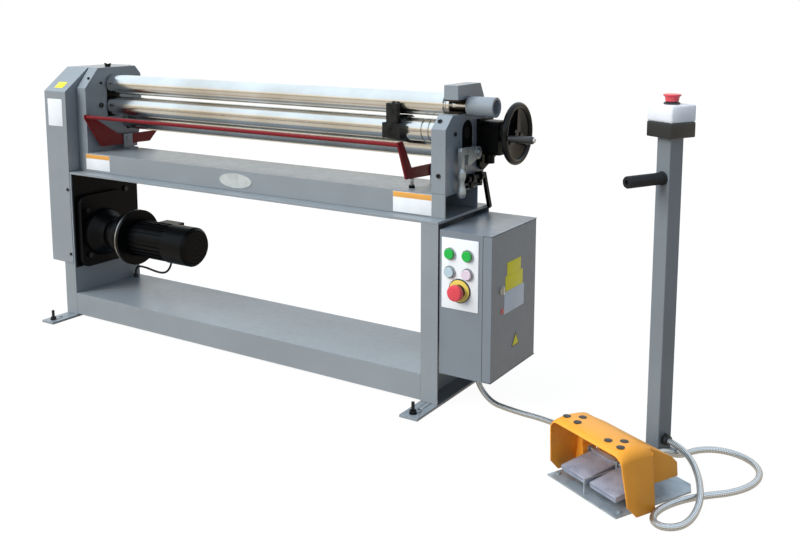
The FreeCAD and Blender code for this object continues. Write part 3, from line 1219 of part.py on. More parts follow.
motor_gland = vec(term_x0 + 40, term_y1 - 22, term_z0)
base_gland = vec(-1512, 222, base_top)
cabinet_gland = vec(pipe_x, pipe_y, cab_z0)
wall_lean = (foot_half - inset - 8.0 - (top_half - inset)) / (guard_h - guard_rise)
side_wall_u = guard_u - rear_foot + wall_lean * (side_port_z - guard_rise - 16.0)
side_gland = local_point(side_wall_u, side_port_v, side_port_z)
rear_gland = local_point(rear_port_u, guard_rear, rear_port_z)
post_port_z = 40.0
post_gland = local_point(post_u1, post_v, post_port_z)
axis_u = place.Rotation.multVec(vec(1, 0, 0))
axis_v = place.Rotation.multVec(vec(0, 1, 0))
down = vec(0, 0, -1)
up = vec(0, 0, 1)
nodes["glands"] = Part.makeCompound([
    gland(motor_gland, down, motor_cable_r), gland(base_gland, up, motor_cable_r),
    gland(cabinet_gland, down, conduit_r), gland(side_gland, axis_u * -1, conduit_r),
    gland(rear_gland, axis_v, conduit_r), gland(post_gland, axis_u, conduit_r),
])

motor_route = [
    motor_gland + down * gland_len, motor_gland + down * (gland_len + 34),
    vec(-1256, 161, 184), vec(-1281, 167, 158), vec(-1318, 179, 144), vec(-1361, 194, 138),
    vec(-1405, 206, 137), vec(-1447, 214, 139), vec(-1490, 219, 137), vec(-1504, 221, 128),
    base_gland + up * (gland_len + 10), base_gland + up * gland_len,
]
floor_z = conduit_r
cabinet_route = [
    cabinet_gland + down * gland_len, cabinet_gland + down * (gland_len + 26),
    vec(90, 65, 31), vec(130, 54, floor_z), vec(180, 41, floor_z), vec(232, 33, floor_z),
    vec(285, 31, floor_z), vec(337, 19, floor_z + 1), vec(384, -6, floor_z + 8),
    vec(434, -41, floor_z + 33), side_gland - axis_u * (gland_len + 36),
    side_gland - axis_u * gland_len,
]
post_route = [
    post_gland + axis_u * gland_len, post_gland + axis_u * (gland_len + 36),
    vec(727, -46, 33), vec(757, -100, 27), vec(779, -156, 26), vec(795, -211, 20),
    vec(798, -264, 11), vec(791, -309, floor_z), vec(773, -338, floor_z),
    vec(747, -349, floor_z), vec(725, -335, floor_z), vec(718, -305, floor_z),
    vec(724, -267, floor_z), vec(742, -226, floor_z), vec(768, -186, floor_z),
    vec(801, -150, floor_z), vec(838, -114, floor_z), vec(866, -68, floor_z),
    vec(879, -17, floor_z), vec(872, 36, floor_z), vec(842, 78, floor_z),
    vec(797, 100, floor_z), vec(747, 97, floor_z), vec(708, 67, floor_z),
    vec(690, 22, floor_z + 2), vec(681, -18, floor_z + 14), vec(671, -49, floor_z + 31),
    rear_gland + axis_v * (gland_len + 24), rear_gland + axis_v * gland_len,
]
nodes["motor_cable"] = cable(motor_route, motor_cable_r, "motor_cable")
nodes["conduit_cabinet"] = cable(cabinet_route, conduit_r, "conduit_cabinet")
nodes["conduit_post"] = cable(post_route, conduit_r, "conduit_post")
cord_nodes = ("motor_cable", "conduit_cabinet", "conduit_post")

# ---------------------------------------------------------------- output
# The origin is under the middle of everything but the free cables, on the floor.
whole = Part.makeCompound([s for n, s in nodes.items() if n not in cord_nodes])
bounds = whole.BoundBox
shift = vec(-(bounds.XMin + bounds.XMax) / 2, -(bounds.YMin + bounds.YMax) / 2, -bounds.ZMin)
print("origin shift", [round(c, 4) for c in shift])
print(len(nodes), "nodes", "size", round(bounds.XLength, 1), round(bounds.YLength, 1),
      round(bounds.ZLength, 1))
for name, shape in nodes.items():
    shape.translate(shift)
    shape.exportStep("parts/" + name + ".step")
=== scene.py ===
import bpy
import bmesh
import json
import math
from mathutils import Matrix, Vector

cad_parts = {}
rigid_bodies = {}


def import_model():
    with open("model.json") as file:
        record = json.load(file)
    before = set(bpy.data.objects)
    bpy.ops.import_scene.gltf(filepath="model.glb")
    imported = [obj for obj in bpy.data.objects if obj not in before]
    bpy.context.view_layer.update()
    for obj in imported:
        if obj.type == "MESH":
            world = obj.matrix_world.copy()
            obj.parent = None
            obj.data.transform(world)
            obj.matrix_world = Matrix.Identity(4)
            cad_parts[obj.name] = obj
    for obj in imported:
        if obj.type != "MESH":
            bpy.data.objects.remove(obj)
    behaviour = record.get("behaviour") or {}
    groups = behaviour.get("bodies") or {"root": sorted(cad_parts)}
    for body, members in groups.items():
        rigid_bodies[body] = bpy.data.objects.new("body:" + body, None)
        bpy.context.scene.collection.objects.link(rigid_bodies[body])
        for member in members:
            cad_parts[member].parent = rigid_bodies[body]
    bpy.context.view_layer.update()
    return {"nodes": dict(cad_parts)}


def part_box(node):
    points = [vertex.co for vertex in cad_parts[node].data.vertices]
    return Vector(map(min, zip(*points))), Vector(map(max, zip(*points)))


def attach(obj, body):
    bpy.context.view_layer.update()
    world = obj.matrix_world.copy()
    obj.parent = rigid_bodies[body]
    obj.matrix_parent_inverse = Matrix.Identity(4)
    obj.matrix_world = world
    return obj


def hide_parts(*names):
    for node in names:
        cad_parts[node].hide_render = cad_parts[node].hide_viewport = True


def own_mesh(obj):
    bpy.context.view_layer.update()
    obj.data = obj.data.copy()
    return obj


for left_over in list(bpy.data.objects):
    bpy.data.objects.remove(left_over)
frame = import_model()
scene = bpy.context.scene

# ---------------------------------------------------------------- camera
# A plain view camera in front of the right-hand end, looking slightly down along the bed.  Its
# frame is shifted so that the machine and the pedal unit both stand inside it.
camera_data = bpy.data.cameras.new("view_camera")
camera_data.sensor_width = 36.0
camera_data.lens = 43.82
camera_data.shift_y = -0.16
camera_data.clip_end = 60.0
camera = bpy.data.objects.new("view_camera", camera_data)
camera.location = (1.78216, -2.32843, 1.13283)
camera.rotation_euler = (math.radians(81.53), 0.0, math.radians(32.56))
scene.collection.objects.link(camera)
scene.camera = camera
scene.view_settings.view_transform = "Standard"

# ---------------------------------------------------------------- stand
# Two pressed C-legs, a channel along the floor and a shelf plate, welded and bolted together.
# Folded steel sheet with one sprayed and baked coat of grey enamel; foot bars carry the legs.
def srgb(code):
    """Linear colour of an sRGB hex code."""
    parts = [int(code[i:i + 2], 16) / 255 for i in (1, 3, 5)]
    linear = [p / 12.92 if p <= 0.04045 else ((p + 0.055) / 1.055) ** 2.4 for p in parts]
    return (*linear, 1.0)


def new_material(name, colour, metallic, roughness):
    """A material with one surface shader, and that shader."""
    material = bpy.data.materials.new(name)
    material.use_nodes = True
    shader = material.node_tree.nodes["Principled BSDF"]
    shader.inputs["Base Color"].default_value = srgb(colour)
    shader.inputs["Metallic"].default_value = metallic
    shader.inputs["Roughness"].default_value = roughness
    material.diffuse_color = srgb(colour)
    return material, shader


def add(material, kind, inputs=(), **settings):
    """Adds a node with its settings; inputs pairs a socket with a value or another socket."""
    made = material.node_tree.nodes.new("ShaderNode" + kind)
    for key, value in settings.items():
        setattr(made, key, value)
    for socket, value in dict(inputs).items():
        if isinstance(value, bpy.types.NodeSocket):
            material.node_tree.links.new(value, made.inputs[socket])
        else:
            made.inputs[socket].default_value = value
    return made


def drive(material, value, socket):
    """Links a node's output to one of the surface shader's sockets."""
    shader = material.node_tree.nodes["Principled BSDF"]
    material.node_tree.links.new(value, shader.inputs[socket])


def enamel(name, colour, roughness, peel_mm, glint=0.5):
    """Sprayed and baked enamel.  It gives an even tone with a faint cloud, a soft sheen and the
    shallow dimples of orange peel.  Real peel is 1 mm across; it is drawn larger to show."""
    material, shader = new_material(name, colour, 0.0, roughness)
    shader.inputs["IOR"].default_value = 1.5
    shader.inputs["Specular IOR Level"].default_value = glint
    place = add(material, "TexCoord").outputs["Object"]
    cloud = add(material, "TexNoise", {"Vector": place, "Scale": 6.0, "Detail": 5.0})
    tone = add(material, "MapRange", {"Value": cloud.outputs["Fac"], "From Min": 0.3,
                                      "From Max": 0.7, "To Min": 0.95, "To Max": 1.05})
    shade = add(material, "HueSaturation", {"Color": srgb(colour), "Value": tone.outputs[0]})
    drive(material, shade.outputs[0], "Base Color")
    streak = add(material, "TexNoise", {"Vector": place, "Scale": 45.0, "Detail": 4.0})
    gloss = add(material, "MapRange", {"Value": streak.outputs["Fac"], "From Min": 0.3,
                                       "From Max": 0.7, "To Min": roughness - 0.05,
                                       "To Max": roughness + 0.06})
    drive(material, gloss.outputs[0], "Roughness")
    peel = add(material, "TexNoise", {"Vector": place, "Scale": 1000.0 / peel_mm, "Detail": 2.0})
    bump = add(material, "Bump", {"Height": peel.outputs["Fac"], "Distance": 0.00012,
                                  "Strength": 0.5})
    drive(material, bump.outputs[0], "Normal")
    return material


def dress(node_names, material, edge_mm=0.0):
    """Gives CAD nodes their finish and, where an edge size is given, softly broken edges."""
    for node_name in node_names:
        node = frame["nodes"][node_name]
        for slot in node.material_slots:
            slot.material = material
        if edge_mm:
            weld = node.modifiers.new("joined", "WELD")
            weld.merge_threshold = 0.00001
            edge = node.modifiers.new("edge", "BEVEL")
            edge.width = edge_mm / 1000.0
            edge.segments = 2
            edge.limit_method = "ANGLE"
            edge.angle_limit = math.radians(50)
            edge.harden_normals = True


grey_enamel = enamel("grey_enamel_on_steel", "#8b9195", 0.34, 2.5)
dress(["legs", "base_channel", "shelf_plate", "foot_bars"], grey_enamel, 1.2)

# ---------------------------------------------------------------- bed and castings
# A folded channel bed with a cast iron end frame bolted at each end.  The castings are milled,
# filled and enamelled; bearing bushes of oiled sintered bronze sit in their bores.
# On a casting the enamel lies thicker, so its dimples are wider and its highlights softer.
cast_enamel = enamel("grey_enamel_on_cast_iron", "#878e93", 0.32, 4.0)
dress(["bed"], grey_enamel, 1.5)
dress(["left_casting", "right_casting"], cast_enamel, 1.5)
# The satin coat is nearly black, with broad weak highlights along the edges.
black_coat = enamel("satin_black_coat_on_iron", "#090a0c", 0.36, 5.0, 0.09)
dress(["keeper_plates"], black_coat)


def worn_metal(name, colour, dark, roughness, grain_mm, metallic=1.0):
    """Bare metal that has been cut and handled: a bright ground colour with faint darker
    patches, and a fine tooled grain.  The grain is drawn at the size given so that it shows."""
    material, _ = new_material(name, colour, metallic, roughness)
    place = add(material, "TexCoord").outputs["Object"]
    patch = add(material, "TexNoise", {"Vector": place, "Scale": 30.0, "Detail": 5.0})
    share = add(material, "MapRange", {"Value": patch.outputs["Fac"], "From Min": 0.42,
                                       "From Max": 0.75})
    tone = add(material, "Mix", {0: share.outputs[0], 6: srgb(colour), 7: srgb(dark)},
               data_type="RGBA")
    drive(material, tone.outputs[2], "Base Color")
    grain = add(material, "TexNoise", {"Vector": place, "Scale": 1000.0 / grain_mm, "Detail": 3.0})
    gloss = add(material, "MapRange", {"Value": grain.outputs["Fac"], "From Min": 0.3,
                                       "From Max": 0.7, "To Min": roughness - 0.06,
                                       "To Max": roughness + 0.08})
    drive(material, gloss.outputs[0], "Roughness")
    bump = add(material, "Bump", {"Height": grain.outputs["Fac"], "Distance": 0.00008,
                                  "Strength": 0.5})
    drive(material, bump.outputs[0], "Normal")
    return material


# Sintered bronze is dark brown and dull, with a slight gleam of oil.
bronze = worn_metal("oiled_sintered_bronze", "#4a4239", "#2a2622", 0.45, 1.5)
dress(["bronze_bushes"], bronze)

# ---------------------------------------------------------------- rolls
# Three solid rolls of carbon steel, turned and then ground between centres.  The grinding leaves
# very fine rings round each roll, so it shines in long bands and never quite like a mirror.
ground, _ = new_material("ground_carbon_steel", "#d4d3cf", 1.0, 0.2)
ring_place = add(ground, "TexCoord").outputs["Object"]
ring_scale = add(ground, "Mapping", {"Vector": ring_place, "Scale": (700.0, 12.0, 12.0)})
ring_noise = add(ground, "TexNoise", {"Vector": ring_scale.outputs[0], "Scale": 1.0, "Detail": 3.0})
ring_gloss = add(ground, "MapRange", {"Value": ring_noise.outputs["Fac"], "From Min": 0.25,
                                      "From Max": 0.75, "To Min": 0.13, "To Max": 0.27})
drive(ground, ring_gloss.outputs[0], "Roughness")
ring_bump = add(ground, "Bump", {"Height": ring_noise.outputs["Fac"], "Distance": 0.00002,
                                 "Strength": 0.6})
drive(ground, ring_bump.outputs[0], "Normal")
smear_noise = add(ground, "TexNoise", {"Vector": ring_place, "Scale": 5.0, "Detail": 4.0})
smear_share = add(ground, "MapRange", {"Value": smear_noise.outputs["Fac"], "From Min": 0.35,
                                       "From Max": 0.7})
smear = add(ground, "Mix", {0: smear_share.outputs[0], 6: srgb("#d9dad9"), 7: srgb("#c3c0b8")},
            data_type="RGBA")
drive(ground, smear.outputs[2], "Base Color")
dress(["upper_roll", "lower_roll", "rear_roll"], ground)

# ---------------------------------------------------------------- gears and bearing blocks
# Hobbed steel gears, the upright swivel block and the two lifting blocks, milled and left bare
# under a film of oil, with the painted sleeve on the upper roll's end.
# Oiled steel is mid grey, with darker patches and small soft glints.
machined = worn_metal("oiled_machined_steel", "#9b9c9c", "#6d6b67", 0.36, 2.0)
dress(["upper_gear", "lower_gear_set", "swivel_block", "lift_blocks", "drive_sprocket",
       "drive_chain"], machined)
dress(["lift_sleeve"], cast_enamel, 1.0)

# ---------------------------------------------------------------- rear roll lift
# A cast gear case on the right end frame, with a dished cast handwheel in glossy black lacquer.
# The wheel's grip is turned from black phenolic and spins on a bright steel pin.
dress(["lift_gear_case"], black_coat, 1.5)
# The lacquer is smooth and deep, so lamps and rims show in it as clear thin highlights.
lacquer = enamel("glossy_black_lacquer", "#0f1012", 0.2, 4.0, 0.18)
dress(["handwheel"], lacquer)


def deselect_all():
    """Leaves nothing selected, so that the next operators reach their own piece alone."""
    for other in bpy.context.selected_objects:
        other.select_set(False)


def corners(node_name):
    """The lowest and the highest corner of a CAD node at rest."""
    return [Vector(corner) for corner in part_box(node_name)]


def turned(name, start, way, steps, sides=48, smooth=30):
    """A piece drawn out along an axis, from steps of (distance, radius)."""
    deselect_all()
    start = Vector(start)
    way = Vector(way).normalized()
    at, size = steps[0]
    bpy.ops.mesh.primitive_circle_add(vertices=sides, radius=size, fill_type="NGON",
                                      location=start + way * at,
                                      rotation=way.to_track_quat("Z", "Y").to_euler())
    piece = bpy.context.object
    piece.name = name
    bpy.ops.object.mode_set(mode="EDIT")
    for far, radius in steps[1:]:
        bpy.ops.mesh.extrude_region_move(TRANSFORM_OT_translate={"value": way * (far - at)})
        share = radius / size
        bpy.ops.transform.resize(value=(share, share, share), center_override=start + way * far)
        at, size = far, radius
    bpy.ops.mesh.select_all(action="SELECT")
    bpy.ops.mesh.normals_make_consistent(inside=False)
    bpy.ops.object.mode_set(mode="OBJECT")
    bpy.ops.object.transform_apply(location=True, rotation=True, scale=True)
    bpy.ops.object.shade_smooth_by_angle(angle=math.radians(smooth))
    return piece


def fit(piece, body, material, slot_name, *nodes):
    """Fixes a finished piece to its body, with its finish and the nodes it stands for."""
    piece.data.materials.clear()
    piece.data.materials.append(material)
    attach(piece, body)
    if nodes:
        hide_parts(*nodes)
    return piece


def moulded(name, colour, roughness, grain_mm, depth_mm, glint=0.5):
    """A moulded plastic: one colour all through, slightly cloudy, with the fine matt grain
    that the mould's skin leaves.  The grain is drawn at the size given so that it shows."""
    material, shader = new_material(name, colour, 0.0, roughness)
    shader.inputs["IOR"].default_value = 1.5
    shader.inputs["Specular IOR Level"].default_value = glint
    place = add(material, "TexCoord").outputs["Object"]
    cloud = add(material, "TexNoise", {"Vector": place, "Scale": 18.0, "Detail": 3.0})
    tone = add(material, "MapRange", {"Value": cloud.outputs["Fac"], "From Min": 0.3,
                                      "From Max": 0.7, "To Min": 0.96, "To Max": 1.04})
    shade = add(material, "HueSaturation", {"Color": srgb(colour), "Value": tone.outputs[0]})
    drive(material, shade.outputs[0], "Base Color")
    grain = add(material, "TexNoise", {"Vector": place, "Scale": 1000.0 / grain_mm, "Detail": 2.0})
    bump = add(material, "Bump", {"Height": grain.outputs["Fac"], "Distance": depth_mm / 1000.0,
                                  "Strength": 0.5})
    drive(material, bump.outputs[0], "Normal")
    return material


# Phenolic is dense and polished by the hand: black, with one clear highlight along it.
phenolic = moulded("black_phenolic", "#222326", 0.28, 2.0, 0.05)
grip_low, grip_high = corners("handwheel_grip")
grip_start = Vector((grip_low.x, (grip_low.y + grip_high.y) / 2, (grip_low.z + grip_high.z) / 2))
grip = turned("wheel_grip", grip_start, (1, 0, 0),
              [(0.0, 0.0072), (0.0012, 0.0084), (0.010, 0.0092), (0.030, 0.0100), (0.055, 0.0107),
               (0.070, 0.0110), (0.074, 0.0108), (0.0765, 0.0098), (0.0775, 0.0086)])
fit(grip, "handwheel_grip", phenolic, "black_plastic", "handwheel_grip")
# Turned steel is pale and bright, with fine tool marks that blur what it mirrors.
bright = worn_metal("bright_turned_steel", "#c9cacb", "#a4a5a5", 0.22, 1.5)
pin_end = turned("wheel_grip_pin", grip_start + Vector((0.0755, 0, 0)), (1, 0, 0),
                 [(0.0, 0.0070), (0.0055, 0.0070), (0.0068, 0.0062), (0.0070, 0.0035),
                  (0.0058, 0.0030)], sides=32)
fit(pin_end, "handwheel_grip", bright, "bright_metal")

# ---------------------------------------------------------------- levers
# The release lever is cast aluminium, tumbled and left bare, so it is pale and slightly grainy.
# The clamp lever is a bent steel bar, and the wing screw is a blackened casting.
cast_aluminium = worn_metal("tumbled_cast_aluminium", "#a3abae", "#838c90", 0.42, 2.5, 0.6)
dress(["release_lever"], cast_aluminium, 1.5)
dress(["clamp_lever", "wing_screw"], black_coat)

# ---------------------------------------------------------------- guard bar
# A tubular bar on two plates, welded and sprayed in glossy dark red, that stops the machine when
# it is pressed.  A small compression spring of bright wire holds it up over its switch.
red_enamel = enamel("glossy_dark_red_enamel", "#740a14", 0.3, 4.0, 0.22)
dress(["guard_bar"], red_enamel, 0.8)
dress(["bar_brackets"], grey_enamel, 0.8)
dress(["bar_switch"], black_coat)
spring_low, spring_high = corners("bar_spring")
spring_middle = (spring_low + spring_high) / 2
coil = bpy.data.curves.new("bar_spring_coil", "CURVE")
coil.dimensions = "3D"
coil_line = coil.splines.new("POLY")
coil_radius, wire_radius = 0.0058, 0.0009
turn_points = 20        # points in one turn
all_points = 6 * turn_points
flat_points = 14        # points of the closed turn at each end
coil_bottom, coil_rise = spring_low.z + 0.001, spring_high.z - spring_low.z - 0.002
coil_points = []
for step in range(all_points + 1):
    turn = 2 * math.pi * step / turn_points
    rise = min(max((step - flat_points) / (all_points - 2 * flat_points), 0.0), 1.0)
    coil_points.append((spring_middle.x + coil_radius * math.cos(turn),
                        spring_middle.y + coil_radius * math.sin(turn),
                        coil_bottom + rise * coil_rise))
coil_line.points.add(len(coil_points) - 1)
for control, point in zip(coil_line.points, coil_points):
    control.co = (*point, 1.0)
coil.bevel_depth = wire_radius
coil.bevel_resolution = 2
coil.use_fill_caps = True
deselect_all()
spring = bpy.data.objects.new("bar_spring_coil", coil)
scene.collection.objects.link(spring)
bpy.context.view_layer.objects.active = spring
spring.select_set(True)
bpy.ops.object.convert(target="MESH")
bpy.ops.object.shade_smooth_by_angle(angle=math.radians(40))
spring = bpy.context.object
fit(spring, "frame", bright, "bright_metal", "bar_spring")
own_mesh(spring)

# ---------------------------------------------------------------- folding stop and screws
# The folding stop is milled from steel bar and blackened in hot salts, as the socket and hexagon
# screws are: a dense blue-black with a dull shine on its edges.
oxide = worn_metal("blackened_steel", "#3a3d40", "#26282a", 0.42, 2.0)
dress(["folding_stop"], oxide, 0.8)
dress(["fasteners"], oxide)


def socket_screw(name, at, way, radius):
    """A round screw head with broken edges and a shallow round recess for its socket."""
    head = turned(name, at, way, [(0.0, radius), (0.0030, radius), (0.0036, radius - 0.0006),
                                  (0.0036, radius * 0.52), (0.0008, radius * 0.50)], sides=30)
    return fit(head, "frame", oxide, "dark_fasteners")


socket_screw("casting_screw_slope", (0.4164, 0.0195, 0.8120), (0.0, -0.679, 0.734), 0.0070)
socket_screw("casting_screw_low", (0.4249, -0.0025, 0.6608), (0.0, -1.0, 0.0), 0.0065)

# ---------------------------------------------------------------- drive
# A geared motor on a plate across the left leg, all in satin black, behind a folded cover of
# enamelled sheet.  The edge of the motor's round flange is turned bright, and four raised
# rings stiffen the end of its fan cowl.
dress(["drive_cover"], grey_enamel, 1.5)
dress(["motor_plate", "reducer"], black_coat, 1.2)
dress(["motor"], black_coat)
motor_low, motor_high = corners("motor")
motor_y, motor_z = 0.0675, 0.303
rim = turned("motor_flange_rim", (motor_low.x, motor_y, motor_z), (1, 0, 0),
             [(0.0004, 0.0880), (0.0004, 0.0995), (0.0010, 0.1003), (0.0060, 0.1003),
              (0.0066, 0.0995), (0.0066, 0.0880)], sides=96)
fit(rim, "frame", machined, "machined_steel")
for count, radius in enumerate((0.018, 0.032, 0.046, 0.058), start=1):
    ring = turned(f"cowl_ring_{count}", (motor_high.x - 0.0030, motor_y, motor_z), (1, 0, 0),
                  [(0.0, radius), (0.0026, radius), (0.0030, radius - 0.0010),
                   (0.0030, radius - 0.0030), (0.0022, radius - 0.0040)], sides=64)
    fit(ring, "frame", black_coat, "black_metal")

# ---------------------------------------------------------------- cabinet
# A folded steel box beside the right leg with a door on its outer side, enamelled like the
# stand.  A quarter-turn latch of zinc alloy holds the door.
# The cabinet's enamel is a shade darker than the stand's, with the same soft sheen.
cabinet_enamel = enamel("grey_enamel_on_cabinet", "#7a8188", 0.34, 2.5)
dress(["cabinet", "cabinet_door"], cabinet_enamel, 1.5)
dress(["door_latch"], bright)
# Polyamide is matt and even, in mid grey.
grey_moulding = moulded("grey_polyamide", "#5c5f61", 0.5, 2.0, 0.06)
dress(["electrics"], grey_moulding)

# ---------------------------------------------------------------- control panel
# A white printed panel with two green and two pale push buttons in satin metal collars, and a
# mushroom stop button that stands on a black base in the middle of a yellow ring.
def plate(name, middle, size, edge, body, material, slot_name, *nodes, turn=0.0, steps=2):
    """A flat or blocky piece: a cube set to its size, then its edges rounded."""
    deselect_all()
    bpy.ops.mesh.primitive_cube_add(size=1.0, location=middle, rotation=(0, 0, turn), scale=size)
    piece = bpy.context.object
    piece.name = name
    bpy.ops.object.transform_apply(location=False, rotation=False, scale=True)
    bpy.ops.object.mode_set(mode="EDIT")
    bpy.ops.mesh.select_all(action="SELECT")
    bpy.ops.mesh.bevel(offset=edge, segments=steps, affect="EDGES")
    bpy.ops.mesh.select_all(action="SELECT")
    bpy.ops.mesh.normals_make_consistent(inside=False)
    bpy.ops.object.mode_set(mode="OBJECT")
    bpy.ops.object.transform_apply(location=True, rotation=True, scale=True)
    bpy.ops.object.shade_smooth_by_angle(angle=math.radians(40))
    return fit(piece, body, material, slot_name, *nodes)


# Printed sheet is even in colour, under a thin clear film that gives it a soft shine.
print_white = moulded("white_printed_sheet", "#eef0f1", 0.3, 1.5, 0.01)
plate("button_panel", (0.5207, -0.0465, 0.4005), (0.115, 0.002, 0.201), 0.0006, "frame",
      print_white, "white_plastic", "blank_plates")
# Satin nickel is pale, with a blurred highlight round the lip of each collar.
collar_metal = worn_metal("satin_nickel_plate", "#aeb4b7", "#90979b", 0.34, 1.5)
panel_face_y, cap_start_y = -0.0475, -0.0516
# Polycarbonate is bright and glassy, with small sharp highlights.
cap_green = moulded("green_polycarbonate", "#18b345", 0.22, 2.0, 0.02)
# Both low caps are white plastic: the left one carries a painted bluish tint of light and the right
# one a painted pinkish tint.
white_cap_painted_bluish = moulded("white_polycarbonate_painted_bluish", "#b9ccd3", 0.22, 2.0, 0.02)
white_cap_painted_pinkish = moulded("white_polycarbonate_painted_pinkish", "#e0cdd8", 0.22, 2.0, 0.02)
for side, where_x, low_cap in (("left", 0.4902, white_cap_painted_bluish), ("right", 0.5457, white_cap_painted_pinkish)):
    for kind, where_z, cap, cap_slot in (("green", 0.457, cap_green, "green_plastic"),
                                         ("white", 0.405, low_cap, "white_plastic")):
        collar = turned(f"collar_{kind}_{side}", (where_x, panel_face_y, where_z), (0, -1, 0),
                        [(0.0, 0.0176), (0.0042, 0.0176), (0.0056, 0.0168), (0.0058, 0.0158),
                         (0.0050, 0.0152), (0.0008, 0.0152)])
        fit(collar, "frame", collar_metal, "bezel_plastic", "button_bezels")
        button = turned(f"cap_{kind}_{side}", (where_x, cap_start_y, where_z), (0, -1, 0),
                        [(0.0, 0.0144), (0.0048, 0.0146), (0.0064, 0.0142), (0.0074, 0.0130),
                         (0.0077, 0.0112), (0.0071, 0.0104), (0.0075, 0.0040)])
        fit(button, f"button_{kind}_{side}", cap, cap_slot, f"button_{kind}_{side}")
# ABS keeps one strong colour, with a fine grain that dulls its highlights.
yellow_ring = moulded("yellow_abs_ring", "#e9cf63", 0.4, 1.5, 0.02)
black_abs = moulded("black_abs", "#1f2022", 0.42, 1.5, 0.05)
stop_at = (0.5212, panel_face_y, 0.355)
ring_edge = turned("stop_ring_edge", stop_at, (0, -1, 0),
                   [(0.0, 0.0340), (0.0030, 0.0340), (0.0038, 0.0333), (0.0038, 0.0318),
                    (0.0030, 0.0314)], sides=64)
fit(ring_edge, "frame", black_abs, "black_plastic", "estop_collar")
ring_face = turned("stop_ring_face", stop_at, (0, -1, 0),
                   [(0.0028, 0.0314), (0.0042, 0.0313), (0.0046, 0.0306), (0.0046, 0.0190),
                    (0.0040, 0.0184)], sides=64)
fit(ring_face, "frame", yellow_ring, "yellow_plastic", "estop_collar")
stop_base = turned("stop_base", stop_at, (0, -1, 0),
                   [(0.0038, 0.0184), (0.0100, 0.0180), (0.0126, 0.0168), (0.0130, 0.0140),
                    (0.0060, 0.0138)])
fit(stop_base, "frame", black_abs, "black_plastic", "estop_collar")
stop_neck = turned("stop_neck", stop_at, (0, -1, 0),
                   [(0.0110, 0.0125), (0.0205, 0.0125)])
fit(stop_neck, "estop_head", black_abs, "black_plastic")
stop_red = moulded("red_polycarbonate", "#dc4650", 0.3, 2.0, 0.02)
mushroom = turned("stop_mushroom", stop_at, (0, -1, 0),
                  [(0.0185, 0.0120), (0.0186, 0.0200), (0.0196, 0.0218), (0.0230, 0.0230),
                   (0.0290, 0.0230), (0.0325, 0.0222), (0.0345, 0.0205), (0.0356, 0.0170),
                   (0.0360, 0.0100)], sides=64)
fit(mushroom, "estop_head", stop_red, "red_plastic", "estop_head")

# ---------------------------------------------------------------- plates
# Thin printed plates, stuck on and bare: two white ones with an orange head on the bed, a white
# and a yellow one on the cover, yellow and grey ones, a triangle and a red spot on the door.
# The oval badge on the bed is a silvered casting.
print_orange = moulded("orange_printed_sheet", "#e7a54f", 0.32, 1.5, 0.01)
print_yellow = moulded("yellow_printed_sheet", "#fff03e", 0.4, 1.5, 0.01, 0.2)
print_grey = moulded("grey_printed_sheet", "#d6dde2", 0.4, 1.5, 0.01, 0.3)
print_red = moulded("red_printed_sheet", "#dc3c3a", 0.32, 1.5, 0.01)
high = 0.604                # upper edge of both bed plates
head_share = 0.28           # orange part of a plate's height
for place, left, right, low in (("left", -1.0518, -0.9278, 0.548),
                                ("right", 0.2732, 0.4032, 0.544)):
    split_z = high - head_share * (high - low)
    middle_x = (left + right) / 2
    plate(f"bed_plate_{place}", (middle_x, -0.0028, (low + high) / 2),
          (right - left, 0.0008, high - low), 0.0002, "frame", print_white, "white_plastic",
          "blank_plates")
    plate(f"bed_plate_head_{place}", (middle_x, -0.0031, (split_z + high) / 2),
          (right - left - 0.001, 0.0006, high - split_z - 0.001), 0.0002, "frame", print_orange,
          "orange_plastic")
plate("cover_plate", (-1.1483, -0.0514, 0.753), (0.077, 0.0008, 0.098), 0.0002, "frame",
      print_white, "white_plastic", "blank_plates")
slant = plate("slant_plate", (0.0, 0.0, 0.0), (0.044, 0.030, 0.0008), 0.0002, "frame",
              print_yellow, "yellow_plate")
cover_slope = math.radians(37.25)
slant.data.transform(Matrix.Translation((-1.1430, -0.0243, 0.8508))
                     @ Matrix.Rotation(cover_slope, 4, "X"))


def stretch(factors, centre):
    """Scales the points of the piece made last about a centre, along the world's axes."""
    bpy.ops.object.mode_set(mode="EDIT")
    bpy.ops.mesh.select_all(action="SELECT")
    bpy.ops.transform.resize(value=factors, center_override=centre)
    bpy.ops.object.mode_set(mode="OBJECT")


badge_wide, badge_high = 69.0, 24.0     # half axes of the badge in mm
badge = turned("oval_badge", (-0.3348, -0.0024, 0.574), (0, -1, 0),
               [(0.0, 0.0690), (0.0012, 0.0690), (0.0018, 0.0682), (0.0018, 0.0655),
                (0.0011, 0.0645)], sides=96)
stretch((1.0, 1.0, badge_high / badge_wide), (-0.3348, 0.0, 0.574))
